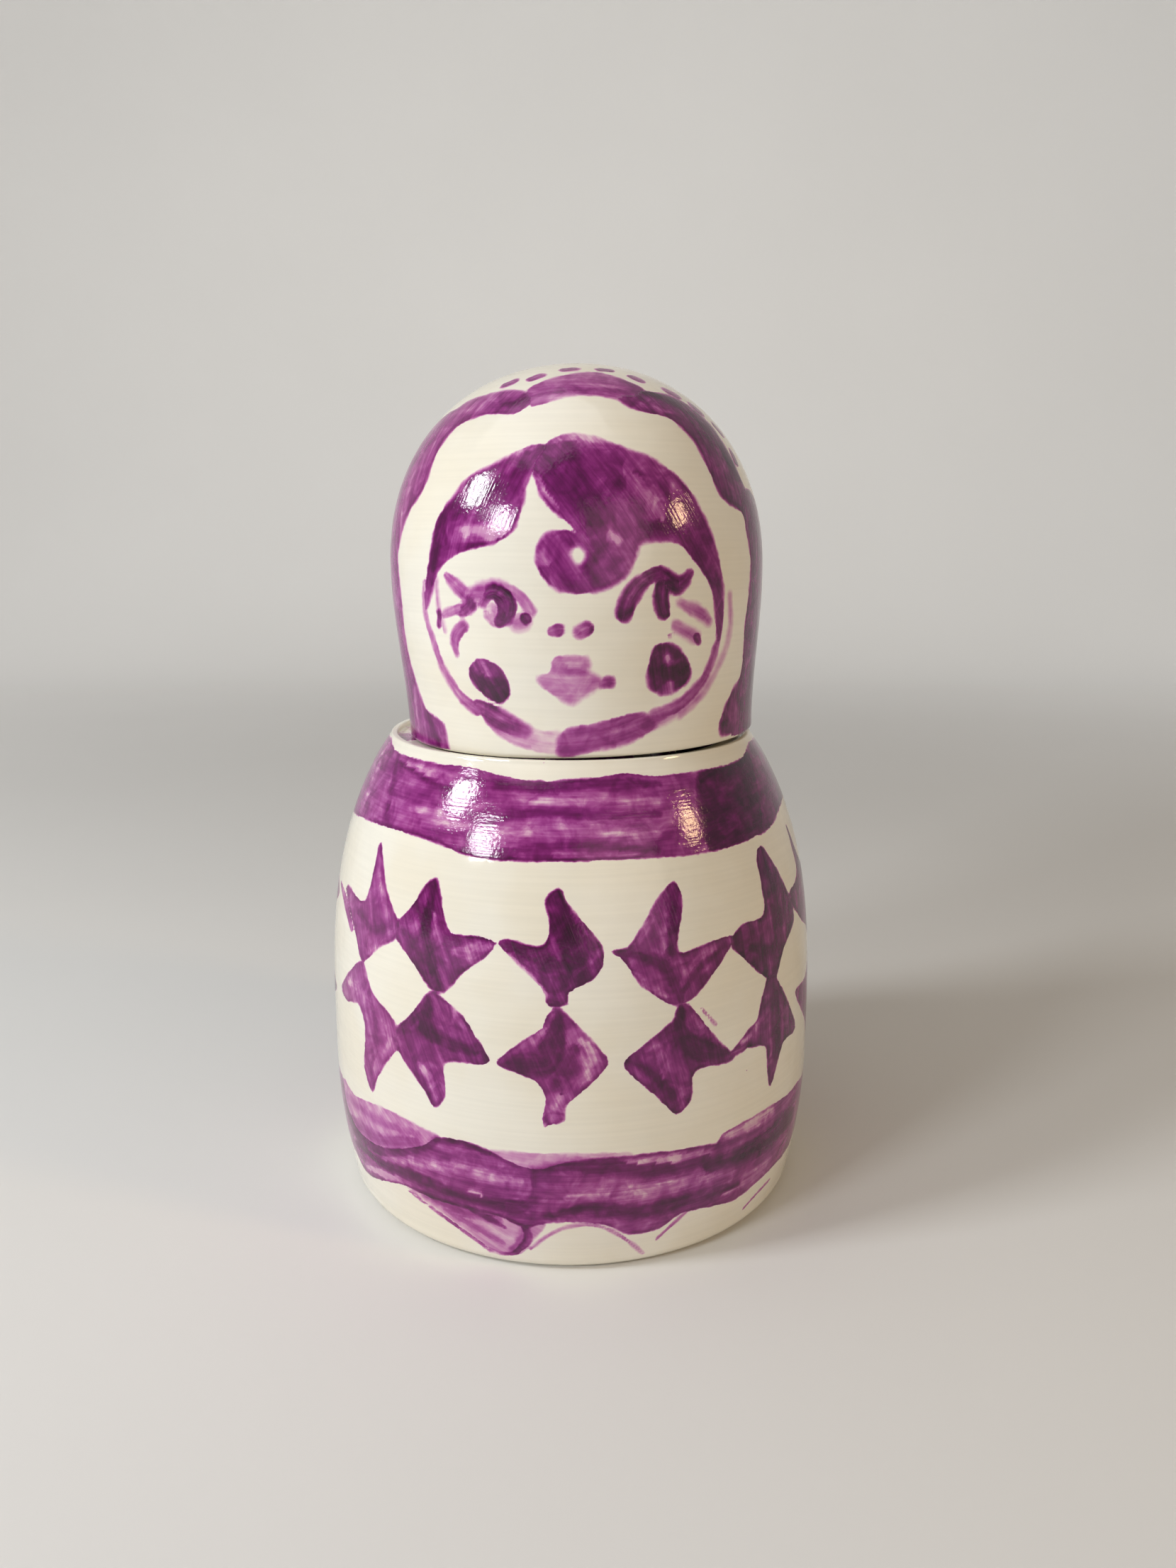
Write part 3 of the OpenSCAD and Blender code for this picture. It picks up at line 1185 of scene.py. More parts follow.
class HeadBrushwork:
    """The painted hood, hair and face.

    Attributes:
        BACK_DOTS: height in millimetres, count and first azimuth of each row of dots behind
    """

    BACK_DOTS = (
        (70, 3, 95), (67, 6, 100), (64, 7, 122), (60, 8, 106), (53.5, 9, 105),
        (45.5, 9, 114), (37, 9, 106), (28, 9, 115), (19, 9, 107), (10, 9, 116),
    )

    # The band that frames the hood: a stroke up each side and one over the top.
    HOOD_LEFT = (
        633, 1057, 626, 1022, 614, 1012, 600, 1000, 587, 965, 574, 915, 567, 860, 561, 800, 561, 775,
        575, 725, 597, 688, 615, 640, 641, 604, 680, 585, 725, 583, 748, 570, 752, 560, 735, 551, 700, 553,
        660, 566, 644, 577,
    )
    HOOD_LEFT_BACK = (-68, 60, -76, 57.8, -82, 53.5, -86, 46, -88, 37, -88, 26, -88, 15, -87, 7, -86, 0.2)
    HOOD_RIGHT = (
        1018, 1036, 1015, 1022, 1031, 980, 1046, 950, 1052, 880, 1060, 800, 1053, 745, 1047, 722, 1020, 702,
        1000, 662, 980, 622, 945, 590, 900, 578, 870, 561, 876, 552, 910, 551, 960, 565, 1000, 597,
        1028, 638, 1052, 690,
    )
    HOOD_RIGHT_BACK = (71, 45, 77, 43.5, 82, 40, 85.5, 34, 87, 26, 87, 16, 85, 7, 83, 0.2)
    HOOD_TOP = (
        742, 553, 760, 540, 800, 528, 840, 525, 870, 532, 908, 549, 905, 566, 870, 562, 840, 557, 800, 558,
        750, 573,
    )
    HOOD: Marks = (
        PatchMark("hood left", BRUSH, 0.95, (0, -1), (Trace(HOOD_LEFT), Trace(HOOD_LEFT_BACK, False))),
        PatchMark("hood right", BRUSH, 1.5, (0.2, 1), (Trace(HOOD_RIGHT), Trace(HOOD_RIGHT_BACK, False))),
        patch("hood top", BRUSH, (0.6, 0.75, 1.1), (1, 0), *HOOD_TOP),
        load("hood top line", 0.6, 2.5, 750, 560, 785, 552, 840, 549, 880, 554),
        load("hood left end", (0.2, 0.9, 0.9), (5, 9, 8), 690, 573, 718, 569, 741, 562),
        load(
            "hood left lower edge", 0.6, (2, 3, 4),
            575, 722, 590, 702, 605, 664, 615, 640, 628, 617, 645, 601, 665, 590, 705, 581,
        ),
        load("hood left foot", 0.9, (4, 7, 8), 606, 1011, 611, 1030, 618, 1050),
        load("hood left foot gap", -0.5, 3, 586, 992, 588, 1010, 590, 1032),
        load("hood left sheen", -0.35, (3, 5, 3), 620, 618, 650, 583, 700, 564),
        load("hood left side", 0.35, (3, 7, 5), 566, 860, 560, 810, 556, 760),
        load("hood right upper edge", 0.7, (4, 6, 5), 900, 553, 940, 562, 975, 585, 1005, 615, 1030, 655),
        load("hood right point", 0.7, (4, 8, 5), 1003, 662, 1018, 692, 1045, 716),
        load("hood right inner edge", -0.5, (3, 4, 3), 905, 571, 940, 579, 968, 600),
        load("hood right side", -0.4, (4, 7, 4), 1062, 860, 1062, 900, 1056, 940),
        load("hood right foot", -0.5, (4, 8, 5), 1045, 975, 1040, 995, 1032, 1015),
        load("hood right foot spot", 0.8, 5, 1020, 1022, 1026, 1018),
    )

    # Hair parted on the left, with a curl on the forehead.
    HAIR_LEFT = (
        601, 858, 599, 835, 607, 775, 618, 730, 640, 701, 660, 674, 690, 659, 722, 640, 760, 626, 775, 632,
        757, 655, 742, 684, 736, 715, 722, 748, 700, 764, 650, 779, 621, 800, 608, 835,
    )
    HAIR_RIGHT = (
        752, 655, 775, 622, 800, 613, 840, 618, 880, 632, 925, 650, 960, 677, 985, 712, 1008, 765, 1020, 820,
        1020, 880, 1013, 907, 1008, 850, 1000, 820, 985, 798, 955, 766, 905, 765, 897, 785, 880, 815,
        845, 832, 810, 837, 780, 828, 760, 805, 757, 775, 772, 753, 800, 748, 812, 751, 800, 735, 778, 718,
        762, 695,
    )
    HAIR_CURL_HOLE = (801, 783, 806, 772, 816, 769, 828, 776, 827, 791, 815, 799)
    HAIR: Marks = (
        patch("hair left", BRUSH, 1.15, (-0.5, 1), *HAIR_LEFT),
        patch("hair right", BRUSH, 1.1, (0.6, 0.8), *HAIR_RIGHT, hole=HAIR_CURL_HOLE),
        load("hair left top", 0.5, (6, 14, 10, 4), 745, 640, 720, 680, 690, 690, 640, 730),
        load("hair left side", 0.6, (8, 14, 8), 650, 690, 622, 740, 610, 800),
        # Painted reflection: the pigment is lifted here to show the window's pale reflection below the
        # hair's highlight.
        load("hair left painted reflection", -1.0, (8, 13, 8), 655, 750, 690, 754, 714, 746),
        load("hair left lower edge", 0.8, (2, 3), 650, 775, 700, 764, 722, 747),
        load("hair left wisp", -0.9, (5, 6, 4), 685, 652, 712, 641, 745, 630),
        load("hair top wisp", -0.8, (4, 6, 4), 782, 620, 815, 616, 850, 623),
        load(
            "hair parting lock", (0.5, 0.6, 0.6, 0.5), (14, 30, 24, 14),
            800, 632, 805, 670, 830, 720, 838, 770,
        ),
        load("hair parting edge", 0.5, (12, 18, 12), 770, 640, 785, 680, 815, 725),
        load("hair parting wash", -0.6, (3, 5, 3), 760, 672, 768, 694, 786, 713),
        load("hair crest", 0.6, (6, 14, 10), 850, 640, 868, 660, 872, 680),
        load("hair thin lock", -0.35, (6, 13, 12, 6), 880, 660, 905, 690, 925, 715, 935, 735),
        load("hair fold", 0.35, (2, 4, 3), 880, 665, 915, 672, 945, 705, 940, 735),
        load("hair right lock", 0.6, (8, 14, 14, 8), 905, 745, 950, 745, 990, 790, 1014, 850),
        load("hair right edge", 0.6, (6, 12, 8), 960, 690, 985, 735, 1005, 790),
        load("hair right tail", 0.7, (4, 5, 3), 1010, 810, 1016, 850, 1014, 895),
        load("curl lower turn", 0.4, (6, 12, 12, 5), 770, 800, 800, 822, 845, 818, 875, 790),
        load("curl left turn", -0.4, (4, 7, 4), 763, 768, 766, 790, 776, 808),
        load("curl right turn", 0.6, (5, 9, 6), 836, 750, 842, 780, 832, 805),
        load("curl thin spot", -0.8, 6, 866, 757, 871, 762),
    )

    # The line round the face, worn through under the chin.
    OVAL_CHIN = (
        798, 1030, 840, 1021, 905, 1006, 926, 1024, 890, 1046, 835, 1060, 797, 1068, 785, 1060, 788, 1044,
    )
    OVAL_LEFT = (597, 818, 598, 853, 604, 883, 612, 907, 622, 937, 636, 963, 654, 987, 673, 1001)
    OVAL_RIGHT = (1013, 905, 1003, 937, 992, 960, 974, 982, 953, 998, 924, 1009)
    OVAL_RIGHT_OUTER = (1030, 839, 1031, 880, 1024, 916, 1006, 953, 988, 982, 960, 1007)
    OVAL: Marks = (
        brush("oval left", (0.45, 0.5, 0.55, 0.8), (2, 5, 5.5, 6, 8), *OVAL_LEFT),
        wash("oval left inner", 0.4, 2.2, 615, 820, 617, 848, 619, 862, 627, 892),
        brush("chin left", (1.0, 1.5, 1.2, 0.6), (8, 14, 13, 9), 674, 995, 690, 1005, 710, 1018, 740, 1031),
        wash("chin left wash", (0.5, 0.4, 0.35), (6, 13, 16), 690, 1018, 715, 1032, 745, 1042),
        wash("chin worn", (0.35, 0.25, 0.2), (12, 15, 16), 735, 1038, 760, 1046, 786, 1049),
        patch("chin right", BRUSH, (0.75, 0.95, 0.8), (1, -0.15), *OVAL_CHIN),
        wash("chin right fade", (0.6, 0.45, 0.35), (9, 7, 5), 912, 1022, 940, 1012, 962, 1000),
        brush("oval right", (1.1, 0.85, 0.75, 0.6), (4, 6, 7, 8, 8), *OVAL_RIGHT),
        wash("oval right outer", 0.4, (2.5, 4, 4, 5), *OVAL_RIGHT_OUTER),
    )

    # Both eyes with their lashes.
    EYES_LEFT_LID = (680, 850, 687, 838, 697, 835, 709, 843, 715, 855, 712, 869, 705, 877)
    EYES_LEFT_HALO = (675, 829, 693, 825, 711, 829, 727, 838, 741, 850, 748, 863)
    EYES_RIGHT_ARCH = (881, 866, 887, 848, 899, 829, 915, 815, 931, 810, 944, 820, 956, 827)
    EYES: Marks = (
        brush("left eye upper lash", (0.85, 0.85, 1.1), (5, 8, 8), 629, 812, 641, 824, 656, 840),
        brush("left eye lash root", (1.5, 1.6, 1.4), (7, 9, 7), 657, 838, 663, 852, 651, 863),
        brush("left eye middle lash", (0.4, 0.7), (5, 7), 626, 867, 647, 859),
        brush("left eye lash end", 1.6, 4, 619, 865, 619, 882),
        brush("left eye lid start", 0.8, (7, 9), 658, 838, 679, 838),
        brush("left eye lid", (1.4, 1.9, 2.0, 1.7, 1.2), (5, 8, 10, 13, 14, 12, 9), *EYES_LEFT_LID),
        wash("left eye ball", 0.6, (13, 15), 693, 866, 699, 869),
        load("left eye light", -0.4, 5, 690, 863, 692, 868),
        wash("left eye halo", (0.45, 0.6, 0.55, 0.6), (5, 7, 8, 8), *EYES_LEFT_HALO),
        wash("left eye corner", 0.55, 11, 731, 878, 738, 876),
        brush("left eye corner dot", 1.3, 7.5, 741, 872, 742, 874),
        brush("left eye lower lash", (1.0, 0.8, 0.75), (7, 9, 7, 3), 653, 884, 643, 895, 641, 908, 644, 922),
        brush("right eye arch", (1.8, 1.8, 2.0), (11, 11.5, 9, 11, 11), *EYES_RIGHT_ARCH),
        brush("right eye prong", 2.0, (11, 10.5, 9), 935, 823, 933, 848, 937, 865),
        brush("right eye lash", (2.0, 1.9, 1.4), (10, 7, 5), 956, 827, 967, 819, 974, 809),
        load("right eye arch shine", -0.5, (2, 4, 2), 893, 815, 912, 806, 930, 806),
        wash(
            "right eye middle lash", (0.4, 0.55, 0.9), (5, 8, 8, 4),
            960, 850, 976, 859, 992, 867, 1000, 876,
        ),
        wash("right eye lower lash", (0.45, 0.7), (7, 7, 7), 953, 882, 969, 891, 983, 901),
        brush("right eye lower lash end", 1.5, (6, 5), 983, 899, 986, 905),
    )

    # Nose, cheeks and lips.
    FEATURES_LEFT_CHEEK = (681, 930, 703, 941, 718, 967, 716, 985, 702, 992, 679, 977, 662, 953, 666, 935)
    FEATURES_RIGHT_CHEEK = (924, 912, 943, 908, 962, 920, 975, 947, 961, 970, 932, 979, 917, 967, 914, 946)
    FEATURES_LIPS = (
        779, 931, 788, 926, 827, 928, 832, 938, 830, 946, 849, 959, 846, 970, 822, 984, 809, 995, 788, 986,
        764, 968, 757, 955, 776, 949,
    )
    FEATURES: Marks = (
        brush("nose left", (0.7, 1.2), (7, 9), 779, 891, 787, 889),
        brush("nose right", (1.2, 1.5), (7.5, 9), 818, 892, 828, 887),
        patch("left cheek", BRUSH, (1.4, 1.9), (0.5, 1), *FEATURES_LEFT_CHEEK),
        load("left cheek light", -0.75, 9, 682, 942, 688, 949),
        load("left cheek dark", 0.7, (9, 12, 9), 676, 958, 696, 970, 706, 984),
        patch("right cheek", BRUSH, 1.8, (0.3, 1), *FEATURES_RIGHT_CHEEK),
        load("right cheek dark", 0.7, (9, 10, 9), 926, 948, 945, 951, 964, 949),
        load("right cheek light", -1.0, 7, 943, 931, 946, 933),
        load("right cheek lower light", -0.7, 4, 945, 967, 950, 966),
        patch("lips", BRUSH, (0.34, 0.45, 0.4), (1, 0), *FEATURES_LIPS),
        load("lips parting", (0.1, 0.35, 0.3), (3, 6, 5), 785, 946, 815, 948, 845, 962),
        load("lips light", -0.15, (4, 6), 800, 936, 812, 937),
        brush("lips right corner", (0.6, 1.3), (5, 7), 846, 966, 859, 963),
    )

    def marks(self) -> List[Mark]:
        """All marks of the head."""
        hood_and_hair = [*self.HOOD, *self.dots(), *self.HAIR]
        return [*hood_and_hair, *self.OVAL, *self.EYES, *self.FEATURES, *self.specks()]

    def dots(self) -> List[Mark]:
        """Dots on the hood: the row in sight, and staggered rows over its back.

        Sines that are out of step stand in for an unsteady hand.

        Returns:
            Its marks.
        """
        seen = (
            (714, 542, 724, 538), (751, 534, 761, 530), (798, 521, 808, 520), (849, 521, 859, 522),
            (893, 532, 902, 536), (943, 552, 953, 557), (978, 573, 986, 580), (1010, 602, 1016, 609),
            (1034, 641, 1038, 650),
        )
        marks: List[Mark] = [brush("hood dot in sight", 1.3, 8, *ends) for ends in seen]
        half_length, tilt, sway, half_width = 0.8, 0.3, 1.2, 8.5
        for ring, (height, count, start) in enumerate(self.BACK_DOTS):
            for k in range(count):
                azimuth = start + k * (360 - 2 * start) / (count - 1)
                low = height + sway * math.sin(2.3 * ring + 1.7 * k)
                spot = (azimuth - half_length, low, azimuth + half_length, low + tilt)
                tone = 1.2 + 0.3 * math.sin(k + ring)
                marks.append(BrushMark("hood dot", BRUSH, tone, half_width, Trace(spot, False)))
        return marks

    def specks(self) -> List[Mark]:
        """Dark specks of iron in the glaze of the head."""
        return [wash("head speck", 1.6, 0.6, 943, 897, 944, 897)]


class BodyBrushwork:
    """The painted bands and the two rows of stars on the body.

    Attributes:
        UPPER_STARS: outlines in pixels, from left to right
        LOWER_STARS: the same for the lower row
        SIXTH_STARS: azimuths and heights of the star of each row that turns out of sight
        BACK_STARS: azimuths of the stars behind
        BACK_ROWS: heights of their rows in millimetres
        BACK_SHAPE: corners of a star behind, across and up from its middle in millimetres
        BACK_STROKES: where the strokes inside it end
        BACK_WIDTH: degrees round the body in a millimetre
    """

    UPPER_STARS = (
        (
            490, 1248, 514, 1272, 530, 1215, 537, 1190, 545, 1255, 562, 1305, 556, 1325, 535, 1335,
            511, 1356, 502, 1320, 490, 1265,
        ),
        (
            616, 1238, 623, 1275, 635, 1315, 680, 1322, 698, 1331, 690, 1345, 655, 1370, 628, 1398,
            608, 1395, 585, 1362, 560, 1325, 556, 1306, 580, 1280, 600, 1250,
        ),
        (
            788, 1254, 800, 1275, 830, 1310, 852, 1345, 840, 1378, 800, 1402, 800, 1416, 775, 1420,
            765, 1395, 725, 1355, 702, 1330, 715, 1325, 750, 1335, 770, 1332, 775, 1300, 770, 1270,
        ),
        (
            950, 1244, 962, 1270, 955, 1340, 965, 1345, 1005, 1328, 1030, 1320, 1033, 1330, 1005, 1375,
            975, 1410, 950, 1418, 905, 1390, 880, 1355, 862, 1342, 885, 1338, 905, 1310, 927, 1270,
        ),
        (
            1073, 1193, 1098, 1230, 1120, 1290, 1105, 1340, 1095, 1378, 1083, 1380, 1042, 1345, 1030, 1330,
            1048, 1305, 1078, 1290, 1073, 1240, 1068, 1210,
        ),
    )
    LOWER_STARS = (
        (
            512, 1355, 525, 1400, 555, 1440, 562, 1475, 545, 1498, 530, 1525, 525, 1540, 514, 1505,
            515, 1450, 505, 1415, 490, 1412, 482, 1390, 503, 1358,
        ),
        (
            612, 1400, 650, 1432, 672, 1465, 690, 1495, 680, 1502, 635, 1497, 625, 1503, 628, 1545,
            612, 1562, 600, 1540, 565, 1488, 553, 1460, 580, 1430, 600, 1405,
        ),
        (
            787, 1423, 808, 1440, 850, 1485, 858, 1500, 835, 1528, 797, 1562, 795, 1582, 766, 1585,
            770, 1550, 755, 1525, 702, 1502, 715, 1485, 765, 1450, 770, 1435,
        ),
        (
            965, 1413, 985, 1432, 1008, 1462, 1035, 1492, 1020, 1500, 980, 1512, 975, 1550, 955, 1572,
            930, 1550, 900, 1525, 880, 1500, 905, 1478, 950, 1440, 955, 1425,
        ),
        (
            1090, 1372, 1110, 1410, 1122, 1450, 1105, 1470, 1087, 1532, 1082, 1490, 1080, 1475, 1045, 1480,
            1030, 1490, 1055, 1455, 1068, 1440, 1080, 1390,
        ),
    )
    UPPER_TONES = (0.95, 1.35, 1.6, 1.2, 1.75)
    LOWER_TONES = (0.85, 1.25, 1.05, 1.35, 1.6)
    SIXTH_STARS = (
        (
            70, 75.5, 73, 70, 77, 66.5, 84, 64, 93, 62, 85, 58.5, 82, 55, 79.5, 50.5, 75, 53.5, 67, 57.5,
            60.5, 63, 67, 64.5, 70.5, 66.5, 70, 71,
        ),
        (
            79, 50, 81, 46, 86, 44, 93, 42, 86, 39, 81, 34, 77.5, 28, 73, 34, 67, 38.5, 61.5, 44, 70, 44,
            76, 46,
        ),
    )
    SIXTH_TONES = (1.5, 1.3)
    STAR_GRAIN = (0.4, 1)
    BACK_STARS = (108, 136, 163, 191, 219, 247, 274)
    BACK_ROWS = (61.2, 41.2)
    BACK_SHAPE = (
        (0, 10), (2.6, 3.4), (11.5, 0.6), (4.2, -3.6),
        (0.4, -10), (-3.6, -3.2), (-11.5, 0.4), (-3.0, 3.2),
    )
    BACK_STROKES = ((-1.5, 7.5), (8.5, 0.3), (-0.5, -7.5))
    BACK_WIDTH = 1.17

    # The band under the bare lip.
    TOP_BAND_UPPER = (
        540, 1036, 548, 1036, 557, 1060, 610, 1077, 660, 1083, 742, 1101, 820, 1100, 878, 1092, 930, 1095,
        1010, 1084, 1045, 1072, 1059, 1048, 1066, 1040,
    )
    TOP_BAND_LOWER = (
        499, 1142, 505, 1150, 545, 1166, 600, 1183, 650, 1203, 700, 1213, 800, 1215, 960, 1207, 1030, 1195,
        1075, 1175, 1090, 1163, 1103, 1128,
    )
    TOP_BAND: Marks = (
        BandMark("top band", BRUSH, 0.98, Trace(TOP_BAND_UPPER), Trace(TOP_BAND_LOWER)),
        load(
            "top band lower edge", 0.7, (2, 4, 3),
            520, 1158, 600, 1183, 655, 1205, 700, 1211, 800, 1213, 900, 1210,
        ),
        load("top band left slant", 0.7, (3, 5, 3), 562, 1074, 600, 1098, 645, 1118),
        load("top band left slant light", -0.5, (4, 8, 5), 575, 1078, 610, 1092, 650, 1100),
        load("top band left seam", 0.6, (3, 5, 4), 560, 1066, 555, 1100, 542, 1160),
        # A paler stroke at the band's left end, lifted further as a painted highlight of the cool light from
        # the left.
        load("top band left end pale stroke and painted highlight", -0.35, (6, 10, 8), 540, 1060, 528, 1095, 512, 1135),
        load("top band upper stroke", 0.6, (6, 9, 8, 4), 700, 1108, 770, 1110, 850, 1104, 930, 1105),
        load("top band lens", -0.3, (4, 10, 8, 4), 750, 1132, 810, 1126, 870, 1126, 930, 1130),
        load("top band middle stroke", 0.45, (5, 8, 5), 690, 1160, 760, 1146, 850, 1150, 930, 1148),
        load("top band broad light", -0.35, (6, 10, 9, 5), 700, 1180, 770, 1174, 850, 1172, 930, 1178),
        load("top band low stroke", 0.6, (4, 6, 4), 700, 1200, 780, 1196, 850, 1195, 930, 1200),
        load("top band low light", -0.4, (2, 3, 2), 780, 1206, 840, 1207, 900, 1205),
        load("top band left light", -0.4, (5, 12, 6), 580, 1140, 620, 1152, 650, 1165),
        # Heavier pigment at the band's right end, darkened further as painted shade of the dim light on the
        # right.
        patch(
            "top band heavy pigment and painted shade", LOAD, 1.1, (1, -0.2),
            985, 1090, 1025, 1079, 1058, 1062, 1078, 1172, 1040, 1192, 1000, 1200,
        ),
        load("top band block edge", 0.6, (3, 5, 3), 984, 1100, 990, 1150, 1000, 1190),
        # Pigment at the band's far right end, partly its own colour and partly painted shade of the dim
        # light on the right.
        patch(
            "top band right end pigment and painted shade", LOAD, 0.5, (0.3, 1),
            1058, 1062, 1068, 1042, 1100, 1100, 1102, 1140, 1078, 1172,
        ),
    )

    # Darker and thinner strokes inside the upper row of stars.
    UPPER_STROKES: Marks = (
        load("star 1 middle", 0.6, (4, 9, 6), 505, 1285, 525, 1310, 550, 1305),
        load("star 1 point", -0.4, (2, 4, 3), 533, 1225, 536, 1250, 540, 1275),
        brush("star 1 wing", 0.8, (3, 8, 5), 481, 1245, 488, 1275, 496, 1310),
        load("star 1 foot wash", -0.4, (3, 6), 520, 1345, 545, 1332),
        load("star 2 spine", 0.6, (5, 9, 8, 4), 612, 1246, 606, 1280, 600, 1320, 618, 1385),
        load("star 2 left wing", 0.5, (4, 7, 4), 568, 1312, 590, 1340, 612, 1375),
        load("star 2 right wing", -0.65, (6, 15, 8), 640, 1342, 662, 1345, 692, 1334),
        load("star 2 wing edge", 0.3, (2, 3, 2), 640, 1318, 665, 1322, 696, 1331),
        load("star 2 scratch", -0.4, (2, 4, 2), 600, 1275, 612, 1290, 612, 1320),
        load("star 3 spine", 0.5, (8, 16, 20, 10), 786, 1262, 795, 1300, 812, 1345, 800, 1395),
        load("star 3 left wing", 0.4, (4, 9, 12), 712, 1332, 745, 1345, 785, 1362),
        load("star 3 wash", -1.3, (3, 7, 6), 716, 1347, 740, 1373, 768, 1404),
        load("star 3 scratch", -0.6, (2, 4, 2), 806, 1284, 822, 1308, 840, 1328),
        load("star 3 middle light", -0.3, (3, 6, 3), 780, 1325, 790, 1350, 786, 1375),
        load("star 4 right edge", 0.7, (4, 6, 5), 955, 1250, 950, 1290, 946, 1345),
        load("star 4 window", -0.55, (2, 6, 3), 938, 1290, 936, 1315, 938, 1340),
        load("star 4 left light", -0.4, (3, 7, 4), 925, 1285, 912, 1310, 900, 1330),
        load("star 4 left wing", 0.7, (4, 8, 10, 5), 876, 1343, 915, 1352, 945, 1372, 960, 1410),
        load("star 4 wing light", -0.5, (3, 6, 4), 892, 1372, 915, 1390, 940, 1405),
        load("star 4 right wing edge", 0.6, (3, 5, 4), 962, 1402, 985, 1368, 1024, 1333),
        load("star 4 right wing light", -0.5, (3, 7, 4), 970, 1372, 988, 1350, 1010, 1338),
        load("star 5 spine", 0.4, (6, 10, 8), 1080, 1215, 1095, 1270, 1090, 1350),
        load("star 5 left wing", 0.3, (4, 8), 1040, 1330, 1085, 1345),
        load("star 5 wing light", -0.6, (3, 6), 1048, 1310, 1068, 1302),
    )

    # Darker and thinner strokes inside the lower row of stars.
    LOWER_STROKES: Marks = (
        load("low star 1 wing", -0.4, (5, 10, 5), 492, 1385, 505, 1395, 514, 1415),
        load("low star 1 spine", 0.5, (3, 6, 4), 520, 1400, 530, 1450, 525, 1500),
        load("low star 1 light", -0.4, (3, 6, 3), 540, 1440, 550, 1465, 540, 1490),
        load("low star 2 spine", 0.7, (6, 12, 10, 5), 605, 1412, 600, 1450, 630, 1470, 672, 1485),
        load("low star 2 left edge", 0.6, (3, 5, 3), 563, 1455, 590, 1435, 608, 1410),
        load("low star 2 foot light", -0.6, (4, 8, 5), 590, 1500, 605, 1520, 614, 1548),
        load("low star 2 right light", -0.5, (3, 6, 3), 632, 1420, 650, 1442, 664, 1462),
        load("low star 2 right end", 0.8, (4, 6), 678, 1478, 686, 1494),
        load(
            "low star 3 dome", 0.8, (6, 14, 22, 18, 8),
            788, 1432, 785, 1455, 780, 1480, 770, 1500, 715, 1500,
        ),
        load("low star 3 right", 0.6, (8, 16, 10), 810, 1480, 800, 1500, 785, 1530),
        load("low star 3 left light", -0.45, (3, 8, 4), 728, 1480, 750, 1468, 768, 1452),
        load("low star 3 right light", -0.45, (4, 9, 5), 818, 1466, 838, 1492, 822, 1528),
        load("low star 3 foot light", -0.5, (3, 7, 5), 792, 1545, 782, 1560, 780, 1578),
        brush("low star 3 foot tail", 0.7, (4, 2), 770, 1575, 768, 1590),
        load("low star 4 spine", 0.7, (5, 14, 18, 8), 962, 1425, 960, 1460, 990, 1482, 1022, 1488),
        load("low star 4 left wing", 0.6, (3, 7, 8), 888, 1500, 920, 1515, 950, 1545),
        load("low star 4 left light", -0.5, (4, 8, 4), 925, 1475, 940, 1495, 935, 1520),
        load("low star 4 right light", -0.5, (3, 6, 3), 978, 1432, 990, 1448, 1002, 1462),
        wash("low star 4 stray line", 0.35, (2, 3), 990, 1423, 1010, 1445),
        load("low star 5 spine", 0.35, (5, 9, 6), 1095, 1400, 1098, 1440, 1090, 1500),
        load("low star 5 wing light", -0.7, (4, 8, 4), 1040, 1478, 1058, 1462, 1072, 1440),
        brush("low star 5 link", 1.1, (3, 5), 1020, 1494, 1050, 1478),
    )

